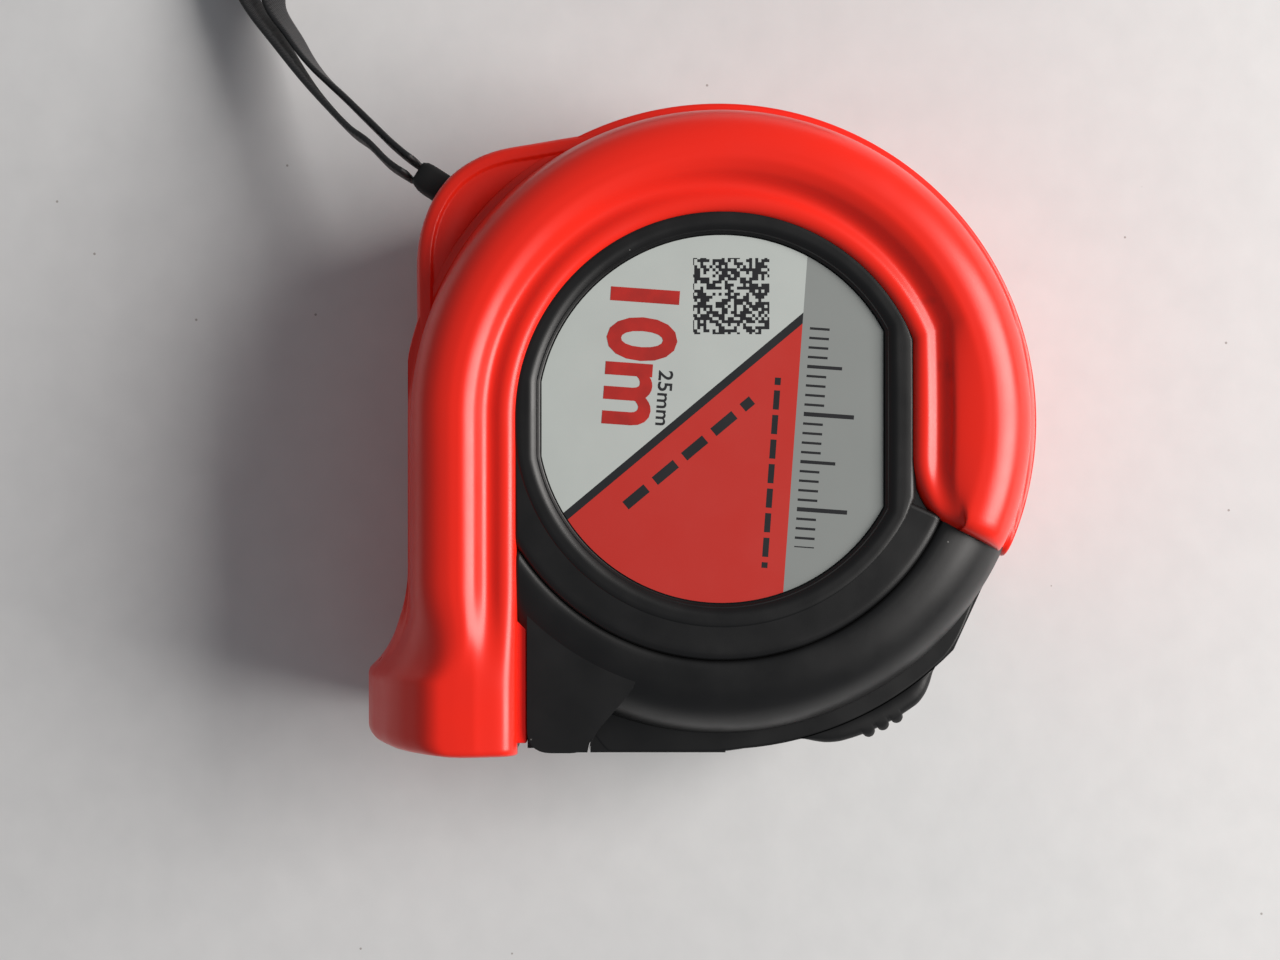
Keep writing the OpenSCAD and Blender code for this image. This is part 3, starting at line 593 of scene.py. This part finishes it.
def blade_strip(m=33):
    """Grid over (x, width): y is the blade's line plus TROUGH * (z / HALF_W)^2, which grows along x."""
    x = np.r_[np.linspace(0, 29, 60), np.linspace(29.5, 38.5, 180), np.linspace(38.7, HOOK_X - 0.2, 20)]
    z = np.linspace(-HALF_W, HALF_W, m)
    rise = TROUGH * (z / HALF_W) ** 2
    grow = smooth_step(x, 2.0, 14.5)
    y = -RUN_Y + rise[None, :] * grow[:, None]
    width = 1 - 0.02 * grow[:, None]
    low = np.dstack([np.broadcast_to(x[:, None], y.shape), y, SEAM + z[None, :] * width])
    high = low + [0, BLADE_T, 0]
    loop = np.concatenate([low, high[:, ::-1]], 1)
    cols = loop.shape[1]
    faces = [tuple(f) for f in grid_faces(len(x), cols, close_cols=True)]
    faces += end_quads(0, cols) + [f[::-1] for f in end_quads(len(x) - 1, cols)]
    return loop.reshape(-1, 3), faces


points, faces = blade_strip()
blade = piece("blade_strip", points, faces, None)
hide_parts("blade_run")
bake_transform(blade)
print("blade strip", len(points), "points")

# %% [markdown]
# The crimped stub is a short black block that grips the two ends of the band. It is a box whose cross-section
# is a rounded rectangle, drawn in a little at both ends, along the direction in which the strap leaves.

# %% Strap stub
STUB_AT = np.array([-34.5, -40.5, SEAM])
STUB_WAY = np.array([-0.54, -0.84, 0]) / np.hypot(0.54, 0.84)


def stub(n=14, m=32):
    """A superellipse of power 6 carried along the strap's direction; u from end to end is -1 to 1, and the
    section is 1 - u^8 / 5 of its full size."""
    side = np.array([-STUB_WAY[1], STUB_WAY[0], 0])
    s = np.linspace(-6.9, 1.9, n)
    shrink = 1 - 0.2 * (np.abs(np.linspace(-1, 1, n)) ** 8)
    w, h = superellipse(m, 6, 2.05, 3.1).T
    rows = STUB_AT + STUB_WAY * s[:, None, None] + side * (w[None, :, None] * shrink[:, None, None])
    rows = rows + np.array([0, 0, 1.0]) * (h[None, :, None] * shrink[:, None, None])
    faces = [tuple(f) for f in grid_faces(n, m, close_cols=True)]
    faces += [tuple(range(m - 1, -1, -1)), tuple((n - 1) * m + k for k in range(m))]
    return rows.reshape(-1, 3), faces


points, faces = stub()
crimp = piece("strap_stub", points, faces, "case")
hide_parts("strap_crimp")

# %% [markdown]
# Every finish starts from the real material: its refractive index, its roughness and how its surface was
# made. Colours are written as the hex values that a painter would read off a screen, and one function turns
# them into the linear values that the renderer needs. One more adds a node with its settings and links.

# %% Colour and node helpers
def linear(hex_colour):
    """sRGB hex to linear: c / 12.92 below 0.04045, else ((c + 0.055) / 1.055) to the power 2.4."""
    c = np.array([int(hex_colour[i:i + 2], 16) for i in (1, 3, 5)]) / 255
    return (*np.where(c <= 0.04045, c / 12.92, ((c + 0.055) / 1.055) ** 2.4).tolist(), 1.0)


def new_material(name):
    """An empty node material and its tree."""
    mat = bpy.data.materials.new(name)
    mat.use_nodes = True
    mat.node_tree.nodes.clear()
    return mat, mat.node_tree


def add(tree, kind, inputs=None, **settings):
    """Adds a node of a kind, with its settings, and sets or links its inputs by name or number."""
    n = tree.nodes.new(kind)
    for key, value in settings.items():
        setattr(n, key, value)
    for key, value in (inputs or {}).items():
        if isinstance(value, bpy.types.NodeSocket):
            tree.links.new(value, n.inputs[key])
        else:
            n.inputs[key].default_value = value
    return n


def shaded(mat, tree, inputs):
    """The material, once its tree ends in a Principled shader that has the given inputs."""
    shader = add(tree, "ShaderNodeBsdfPrincipled", inputs)
    add(tree, "ShaderNodeOutputMaterial", {0: shader.outputs[0]})
    return mat


def per_mm(size):
    """Texture scale whose features are about that many millimetres across, in an object measured in metres."""
    return 1000.0 / size


# %% [markdown]
# The jacket is thermoplastic rubber, moulded in a polished tool and a little worn. It is a saturated
# orange-red with a soft, slightly broken gloss: index 1.5, roughness near a third. Faint scuffs lie on it.

# %% Orange moulded rubber
def moulded_rubber():
    """Colour drifts by a few percent over 9 mm; the gloss is broken by a 0.25 mm grain."""
    mat, t = new_material("orange_moulded_rubber")
    at = add(t, "ShaderNodeTexCoord").outputs["Object"]
    drift = add(t, "ShaderNodeTexNoise", {"Vector": at, "Scale": per_mm(9), "Detail": 3.0}).outputs["Fac"]
    grain = add(t, "ShaderNodeTexNoise", {"Vector": at, "Scale": per_mm(0.25), "Detail": 2.0}).outputs["Fac"]
    hue = add(t, "ShaderNodeMix", {"Factor": drift, 6: linear("#F92A17"), 7: linear("#F02515")}, data_type="RGBA")
    marks = None
    for x, y, lx, ly in ((-15.2, 26.7, 0.9, 1.6), (-6.2, 29.3, 2.2, 0.7), (-6.9, 28.2, 1.2, 0.5)):
        place = add(t, "ShaderNodeMapping", {"Vector": at, "Location": to_metres([x, y, 43.5]).tolist(),
                    "Scale": (lx / 1000, ly / 1000, 0.004)}, vector_type="TEXTURE")
        d = add(t, "ShaderNodeVectorMath", {0: place.outputs[0]}, operation="LENGTH").outputs["Value"]
        spot = add(t, "ShaderNodeMapRange", {"Value": d, "From Min": 1.0, "From Max": 0.2,
                   "To Max": 0.5}).outputs[0]
        pair = {0: 0.0 if marks is None else marks, 1: spot}
        marks = add(t, "ShaderNodeMath", pair, operation="MAXIMUM").outputs[0]
    broken = add(t, "ShaderNodeTexNoise", {"Vector": at, "Scale": per_mm(0.8), "Detail": 4.0}).outputs["Fac"]
    marks = add(t, "ShaderNodeMath", {0: marks, 1: broken}, operation="MULTIPLY").outputs[0]
    base = add(t, "ShaderNodeMix", {"Factor": marks, 6: hue.outputs[2], 7: linear("#5A1512")}, data_type="RGBA")
    rough = add(t, "ShaderNodeMapRange", {"Value": drift, "From Min": 0.3, "From Max": 0.7, "To Min": 0.27,
                "To Max": 0.36})
    bump = add(t, "ShaderNodeBump", {"Height": grain, "Strength": 0.06, "Distance": 0.00004})
    return shaded(mat, t, {"Base Color": base.outputs[2], "Roughness": rough.outputs[0],
                           "Normal": bump.outputs[0], "IOR": 1.5})


orange = moulded_rubber()

# %% [markdown]
# The case is black ABS from a lightly etched tool: index 1.54, a satin roughness of nearly a half, and a fine
# grain. Handling leaves pale dust on it, which gathers as separate specks, so a sparse cell pattern lightens
# single points.

# %% Black etched ABS
def etched_plastic(name, dark, low, high, dust):
    """Roughness moves between two values over 6 mm; one cell in many carries a pale speck 0.1 mm across."""
    mat, t = new_material(name)
    at = add(t, "ShaderNodeTexCoord").outputs["Object"]
    drift = add(t, "ShaderNodeTexNoise", {"Vector": at, "Scale": per_mm(6), "Detail": 4.0}).outputs["Fac"]
    grain = add(t, "ShaderNodeTexNoise", {"Vector": at, "Scale": per_mm(0.18), "Detail": 2.0}).outputs["Fac"]
    cells = add(t, "ShaderNodeTexVoronoi", {"Vector": at, "Scale": per_mm(1.6)})
    speck = add(t, "ShaderNodeMath", {0: cells.outputs["Distance"], 1: 0.07}, operation="LESS_THAN").outputs[0]
    few = add(t, "ShaderNodeMath", {0: cells.outputs["Color"], 1: 1 - dust}, operation="GREATER_THAN").outputs[0]
    speck = add(t, "ShaderNodeMath", {0: speck, 1: few}, operation="MULTIPLY").outputs[0]
    base = add(t, "ShaderNodeMix", {"Factor": speck, 6: linear(dark), 7: linear("#6E6E6C")}, data_type="RGBA")
    rough = add(t, "ShaderNodeMapRange", {"Value": drift, "From Min": 0.3, "From Max": 0.7, "To Min": low,
                "To Max": high})
    bump = add(t, "ShaderNodeBump", {"Height": grain, "Strength": 0.12, "Distance": 0.00004})
    return shaded(mat, t, {"Base Color": base.outputs[2], "Roughness": rough.outputs[0],
                           "Normal": bump.outputs[0], "IOR": 1.54})


black = etched_plastic("black_etched_abs", "#060607", 0.36, 0.46, 0.16)
lock_black = etched_plastic("black_grip_plastic", "#0B0B0C", 0.34, 0.46, 0.08)
ivory = etched_plastic("ivory_acetal", "#E2DCC8", 0.38, 0.5, 0.0)
washer_white = etched_plastic("white_nylon_washer", "#D6D6D2", 0.45, 0.55, 0.0)
soft_black = etched_plastic("black_bumper_rubber", "#0F0F10", 0.6, 0.75, 0.02)

# %% [markdown]
# Steel parts are nickel plated and then brushed: pale grey, fully metallic, with fine lines that spread the
# highlight. The mainspring and the blade's bare steel are darker. Stretching a noise strongly along one
# direction gives the lines.

# %% Plated and spring steel
def brushed(name, tone, low, high):
    """Lines 0.08 mm apart and several millimetres long, in the roughness and a faint bump."""
    mat, t = new_material(name)
    at = add(t, "ShaderNodeTexCoord").outputs["Object"]
    drawn = add(t, "ShaderNodeMapping", {"Vector": at, "Scale": (per_mm(4), per_mm(0.08), per_mm(0.08))}).outputs[0]
    lines = add(t, "ShaderNodeTexNoise", {"Vector": drawn, "Scale": 1.0, "Detail": 3.0}).outputs["Fac"]
    rough = add(t, "ShaderNodeMapRange", {"Value": lines, "From Min": 0.3, "From Max": 0.7, "To Min": low,
                "To Max": high})
    tint = add(t, "ShaderNodeMix", {"Factor": lines, 6: linear(tone), 7: linear("#C9CBCC")}, data_type="RGBA")
    bump = add(t, "ShaderNodeBump", {"Height": lines, "Strength": 0.08, "Distance": 0.00003})
    return shaded(mat, t, {"Base Color": tint.outputs[2], "Roughness": rough.outputs[0],
                           "Normal": bump.outputs[0], "Metallic": 1.0})


nickel = brushed("brushed_nickel_plate", "#B4B7BA", 0.22, 0.38)
blued = brushed("blued_spring_steel", "#4E5560", 0.3, 0.45)

# %% [markdown]
# The blade is painted yellow and printed with black graduations: a tick each millimetre from both edges,
# longer at five and longest at ten. The pattern is plain arithmetic on the position along the blade, with
# one period of ten millimetres.

# %% Printed yellow blade
def printed_blade():
    """Ticks where the distance to the nearest multiple of 1, 5 or 10 mm is small, each with its own length."""
    mat, t = new_material("printed_yellow_blade")
    at = add(t, "ShaderNodeTexCoord").outputs["Object"]
    xyz = add(t, "ShaderNodeSeparateXYZ", {0: at})
    x = add(t, "ShaderNodeMath", {0: xyz.outputs[0], 1: 1000.0}, operation="MULTIPLY").outputs[0]
    z = add(t, "ShaderNodeMath", {0: xyz.outputs[2], 1: 1000.0, 2: -SEAM}, operation="MULTIPLY_ADD").outputs[0]
    off = add(t, "ShaderNodeMath", {0: z}, operation="ABSOLUTE").outputs[0]
    edge = add(t, "ShaderNodeMath", {0: 12.3, 1: off}, operation="SUBTRACT").outputs[0]
    ink = None
    for period, half, reach in ((1.0, 0.09, 3.0), (5.0, 0.11, 4.6), (10.0, 0.14, 7.0)):
        near = add(t, "ShaderNodeMath", {0: x, 1: period / 2}, operation="PINGPONG").outputs[0]
        tick = add(t, "ShaderNodeMath", {0: near, 1: half}, operation="LESS_THAN").outputs[0]
        inside = add(t, "ShaderNodeMath", {0: edge, 1: reach}, operation="LESS_THAN").outputs[0]
        tick = add(t, "ShaderNodeMath", {0: tick, 1: inside}, operation="MULTIPLY").outputs[0]
        pair = {0: 0.0 if ink is None else ink, 1: tick}
        ink = add(t, "ShaderNodeMath", pair, operation="MAXIMUM").outputs[0]
    drift = add(t, "ShaderNodeTexNoise", {"Vector": at, "Scale": per_mm(5), "Detail": 3.0}).outputs["Fac"]
    paint = add(t, "ShaderNodeMix", {"Factor": drift, 6: linear("#F0C419"),
               7: linear("#EABB12")}, data_type="RGBA")
    base = add(t, "ShaderNodeMix", {"Factor": ink, 6: paint.outputs[2], 7: linear("#151515")}, data_type="RGBA")
    rough = add(t, "ShaderNodeMapRange", {"Value": drift, "To Min": 0.28, "To Max": 0.36})
    return shaded(mat, t, {"Base Color": base.outputs[2], "Roughness": rough.outputs[0], "IOR": 1.5,
                           "Coat Weight": 0.4, "Coat Roughness": 0.12})


yellow = printed_blade()

# %% [markdown]
# The strap is flat-woven nylon. Its warp threads run along the band and the weft crosses them about every
# 0.6 mm, so two sine patterns on the band's own coordinates give the small raised cells. They are drawn a
# little coarser than the real thread so that they show.

# %% Woven nylon
def woven_nylon():
    """Height = sin(2 pi along / 0.7) sin(2 pi across / 1.0), read from the band's own map in mm."""
    mat, t = new_material("woven_black_nylon")
    uv = add(t, "ShaderNodeUVMap", uv_map="band").outputs[0]
    part = add(t, "ShaderNodeSeparateXYZ", {0: uv})
    a = add(t, "ShaderNodeMath", {0: part.outputs[0], 1: 2 * math.pi / 0.7}, operation="MULTIPLY").outputs[0]
    b = add(t, "ShaderNodeMath", {0: part.outputs[1], 1: 2 * math.pi / 1.0}, operation="MULTIPLY").outputs[0]
    a = add(t, "ShaderNodeMath", {0: a}, operation="SINE").outputs[0]
    b = add(t, "ShaderNodeMath", {0: b}, operation="SINE").outputs[0]
    weave = add(t, "ShaderNodeMath", {0: a, 1: b}, operation="MULTIPLY").outputs[0]
    lift = add(t, "ShaderNodeMapRange", {"Value": weave, "From Min": -1.0, "From Max": 1.0}).outputs[0]
    base = add(t, "ShaderNodeMix", {"Factor": lift, 6: linear("#070709"), 7: linear("#19191C")}, data_type="RGBA")
    bump = add(t, "ShaderNodeBump", {"Height": lift, "Strength": 0.6, "Distance": 0.00012})
    return shaded(mat, t, {"Base Color": base.outputs[2], "Roughness": 0.55, "Normal": bump.outputs[0],
                           "IOR": 1.53, "Sheen Weight": 0.1, "Sheen Roughness": 0.4})


nylon = woven_nylon()

# %% [markdown]
# The label is printed film under a clear laminate. A diagonal black line parts a silver-white field from a
# red one, and a straight edge parts both from a grey band that carries a plain measuring scale. All of it is
# signed distances from lines: the side of a line picks the colour, and a small distance draws the line.
# The square beside the size is a field of random cells, and the fine print is rows of plain dashes.

# %% Printed label
def printed_label():
    """d = n . (p - p0) for the divider and the diagonal; the sign of each picks a field."""
    mat, t = new_material("laminated_label_print")
    at = add(t, "ShaderNodeTexCoord").outputs["Object"]
    pos = add(t, "ShaderNodeSeparateXYZ", {0: at})

    def math_node(op, *args):
        return add(t, "ShaderNodeMath", dict(enumerate(args)), operation=op).outputs[0]

    x = math_node("MULTIPLY_ADD", pos.outputs[0], 1000.0, float(-REEL[0] + 13.2))
    y = math_node("MULTIPLY_ADD", pos.outputs[1], 1000.0, float(-REEL[1] - 10.66))

    def distance(ny, nx):
        return math_node("ADD", math_node("MULTIPLY", y, ny), math_node("MULTIPLY", x, nx))

    def within(value, low, high):
        return math_node("MULTIPLY", math_node("GREATER_THAN", value, low), math_node("LESS_THAN", value, high))

    divider = distance(0.9974, 0.0718)
    along = distance(-0.0718, 0.9974)
    diagonal = distance(0.6409, 0.7676)
    down_diagonal = distance(-0.7676, 0.6409)
    grey = math_node("GREATER_THAN", divider, 0.0)
    left = math_node("LESS_THAN", divider, 0.0)
    red = math_node("MULTIPLY", math_node("GREATER_THAN", diagonal, 0.0), left)
    rule = math_node("MULTIPLY", within(diagonal, -0.55, 0.5), left)
    ticks = None
    for period, half, reach in ((1.25, 0.16, 2.6), (6.25, 0.22, 4.6), (12.5, 0.28, 6.6)):
        near = math_node("PINGPONG", along, period / 2)
        tick = math_node("MULTIPLY", math_node("LESS_THAN", near, half), within(divider, 1.0, 1.0 + reach))
        ticks = tick if ticks is None else math_node("MAXIMUM", ticks, tick)
    ticks = math_node("MULTIPLY", ticks, within(along, 1.0, 30.0))
    snapped = add(t, "ShaderNodeVectorMath", {0: at, 1: (0.0004, 0.0004, 1.0)}, operation="SNAP").outputs[0]
    dots = add(t, "ShaderNodeTexWhiteNoise", {"Vector": snapped}, noise_dimensions="3D").outputs["Value"]
    dots = math_node("GREATER_THAN", dots, 0.46)
    square = math_node("MULTIPLY", within(x, -7.9, 2.1), within(y, -14.4, -4.4))
    dots = math_node("MULTIPLY", dots, square)
    dash_run = math_node("FRACT", math_node("MULTIPLY", along, 0.31))
    dash = math_node("MULTIPLY", math_node("LESS_THAN", dash_run, 0.78), within(divider, -3.1, -2.3))
    dash = math_node("MULTIPLY", dash, within(along, 8.0, 33.0))
    slant_run = math_node("FRACT", math_node("MULTIPLY", down_diagonal, 0.2))
    slant = math_node("MULTIPLY", math_node("LESS_THAN", slant_run, 0.72), within(diagonal, 3.3, 4.6))
    slant = math_node("MULTIPLY", slant, within(down_diagonal, 12.0, 34.0))
    small = math_node("MAXIMUM", dash, math_node("MULTIPLY", slant, red))
    ink = math_node("MAXIMUM", math_node("MAXIMUM", ticks, dots), math_node("MAXIMUM", rule, small))
    foil = add(t, "ShaderNodeTexNoise", {"Vector": at, "Scale": per_mm(7), "Detail": 3.0}).outputs["Fac"]
    base = linear("#C3C9C5")
    for mask, tone in ((foil, "#B6BCB9"), (red, "#C22F26"), (grey, "#8B8F8D"), (ink, "#1D1D20")):
        base = add(t, "ShaderNodeMix", {"Factor": mask, 6: base, 7: linear(tone)}, data_type="RGBA").outputs[2]
    rough = add(t, "ShaderNodeMapRange", {"Value": foil, "From Min": 0.3, "From Max": 0.7, "To Min": 0.32,
                "To Max": 0.42})
    return shaded(mat, t, {"Base Color": base, "Roughness": rough.outputs[0], "IOR": 1.5,
                           "Coat Weight": 0.5, "Coat Roughness": 0.15})


label_print = printed_label()

# %% [markdown]
# The blade's length and width are printed on the label in plain figures. Blender's built-in letter shapes
# give them: each text is made a thin mesh and laid just above the film, turned four degrees as the label is.

# %% Size figures on the label
LABEL_TURN, FILM_TOP = math.radians(-4.1), 40.33


def figures(name, words, x, y, tall, long, thick, ink):
    """Text scaled to a height and a length in mm, turned by the label's angle and set with its lower left
    corner at (x, y)."""
    curve = bpy.data.curves.new(name, "FONT")
    curve.body = words
    curve.offset = thick
    curve.resolution_u = 4
    holder = bpy.data.objects.new(name + "_curve", curve)
    bpy.context.scene.collection.objects.link(holder)
    bpy.context.view_layer.update()
    mesh = bpy.data.meshes.new_from_object(holder.evaluated_get(bpy.context.evaluated_depsgraph_get()))
    bpy.data.objects.remove(holder)
    co = np.zeros(len(mesh.vertices) * 3)
    mesh.vertices.foreach_get("co", co)
    co = co.reshape(-1, 3)
    low, high = co.min(0), co.max(0)
    flat = (co[:, :2] - low[:2]) / (high - low)[:2] * [long, tall]
    c, s = math.cos(LABEL_TURN), math.sin(LABEL_TURN)
    turned = flat @ np.array([[c, s], [-s, c]])
    placed = np.c_[turned + [x, y], np.full(len(co), FILM_TOP)]
    mesh.vertices.foreach_set("co", to_metres(placed).astype(np.float32).ravel())
    mesh.update()
    mesh.shade_flat()
    obj = bpy.data.objects.new(name, mesh)
    bpy.context.scene.collection.objects.link(obj)
    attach(obj, "case")
    mesh.materials.clear()
    mesh.materials.append(ink)
    finish_with(obj, "SOLIDIFY", thickness=0.00002, offset=-1.0)


def printing_ink(name, tone, second_tone):
    """Screen-printed ink: a little rough, its depth of colour drifting over 3 mm."""
    mat, t = new_material(name)
    at = add(t, "ShaderNodeTexCoord").outputs["Object"]
    drift = add(t, "ShaderNodeTexNoise", {"Vector": at, "Scale": per_mm(3), "Detail": 3.0}).outputs["Fac"]
    tint = add(t, "ShaderNodeMix", {"Factor": drift, 6: linear(tone), 7: linear(second_tone)}, data_type="RGBA")
    rough = add(t, "ShaderNodeMapRange", {"Value": drift, "To Min": 0.34, "To Max": 0.42})
    return shaded(mat, t, {"Base Color": tint.outputs[2], "Roughness": rough.outputs[0], "IOR": 1.5,
                           "Coat Weight": 0.5, "Coat Roughness": 0.15})


red_ink = printing_ink("red_printing_ink", "#CC2B22", "#8C1D18")
black_ink = printing_ink("black_printing_ink", "#1D1D20", "#262629")
figures("figures_length", "10m", -17.4, -14.6, 9.3, 18.0, 0.03, red_ink)
figures("figures_width", "25mm", -6.4, -8.2, 1.9, 7.2, 0.012, black_ink)

# %% [markdown]
# Now every object gets its finish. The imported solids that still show, and those inside the case, take the
# finish that their material slot stands for, so nothing keeps a plain colour.

# %% Give every piece its finish
finish_of = {
    "case_plastic": black, "jacket_rubber": orange, "label_film": label_print, "steel": nickel,
    "reel_plastic": ivory, "washer_plastic": washer_white, "spring_steel": blued, "blade_paint": yellow,
    "lock_plastic": lock_black, "bumper_rubber": soft_black, "strap_nylon": nylon,
}
slot_of = {s["node"]: s["material_slot"] for s in frame["record"]["subparts"]}
piece_slot = {
    "strap_band": "strap_nylon", "face_ring_label_side": "case_plastic", "nose_band": "case_plastic",
    "thumb_lock": "lock_plastic", "blade_strip": "blade_paint", "strap_stub": "bumper_rubber",
}
for stem, slot in (("rubber_jacket", "jacket_rubber"), ("web", "jacket_rubber"), ("toe_wall", "jacket_rubber"),
                   ("nose", "case_plastic"), ("cheek", "case_plastic")):
    piece_slot[stem + "_label_side"] = piece_slot[stem + "_back_side"] = slot
for name, slot in {**slot_of, **piece_slot}.items():
    obj = bpy.data.objects.get(name)
    if obj is None:
        print("no object named", name)
        continue
    obj.data.materials.clear()
    obj.data.materials.append(finish_of[slot])
print(len(slot_of), "packed solids and", len(piece_slot), "new pieces have a finish")

# %% [markdown]
# The tape lies on a pale painted board near a window on the right. A broad soft lamp stands for the window,
# a weak sky fills the shadow, and the board's faint mottling keeps it from looking like paper.

# %% Board, lamp and sky
def painted_board():
    """Off-white paint with a drift over 60 mm, small clouds over 6 mm and rare darker flecks."""
    mat, t = new_material("pale_painted_board")
    at = add(t, "ShaderNodeTexCoord").outputs["Object"]
    wide = add(t, "ShaderNodeTexNoise", {"Vector": at, "Scale": per_mm(60), "Detail": 3.0}).outputs["Fac"]
    small = add(t, "ShaderNodeTexNoise", {"Vector": at, "Scale": per_mm(6), "Detail": 5.0}).outputs["Fac"]
    cells = add(t, "ShaderNodeTexVoronoi", {"Vector": at, "Scale": per_mm(9)})
    fleck = add(t, "ShaderNodeMath", {0: cells.outputs["Distance"], 1: 0.022}, operation="LESS_THAN").outputs[0]
    clouds = add(t, "ShaderNodeMath", {0: small, 1: 0.5}, operation="MULTIPLY").outputs[0]
    base = linear("#E4E4E4")
    for mask, tone in ((wide, "#DADBDC"), (clouds, "#C9CACB"), (fleck, "#A7A3A0")):
        base = add(t, "ShaderNodeMix", {"Factor": mask, 6: base, 7: linear(tone)}, data_type="RGBA").outputs[2]
    bump = add(t, "ShaderNodeBump", {"Height": small, "Strength": 0.12, "Distance": 0.0003})
    return shaded(mat, t, {"Base Color": base, "Roughness": 0.62, "Normal": bump.outputs[0], "IOR": 1.45})


board_mesh = bpy.data.meshes.new("board")
board_mesh.from_pydata([(-3, -3, 0), (3, -3, 0), (3, 3, 0), (-3, 3, 0)], [], [(0, 1, 2, 3)])
board = bpy.data.objects.new("board", board_mesh)
board_mesh.materials.append(painted_board())
bpy.context.scene.collection.objects.link(board)


def soft_lamp(name, place, look_at, width, height, power, tint):
    """A rectangular lamp at a place, turned to a point."""
    data = bpy.data.lights.new(name, "AREA")
    data.shape = "RECTANGLE"
    data.size, data.size_y = width, height
    data.energy = power
    data.color = linear(tint)[:3]
    lamp = bpy.data.objects.new(name, data)
    lamp.location = place
    lamp.rotation_euler = (Vector(look_at) - Vector(place)).to_track_quat("-Z", "Y").to_euler()
    bpy.context.scene.collection.objects.link(lamp)


soft_lamp("window", (-0.06, 0.72, 0.55), (0, 0, 0), 0.70, 0.50, 11.5, "#FFFBF7")
world = bpy.data.worlds.new("room")
bpy.context.scene.world = world
world.use_nodes = True
world.node_tree.nodes["Background"].inputs[0].default_value = linear("#E9EDF2")
world.node_tree.nodes["Background"].inputs[1].default_value = 0.22
bpy.context.scene.view_settings.view_transform = "Standard"
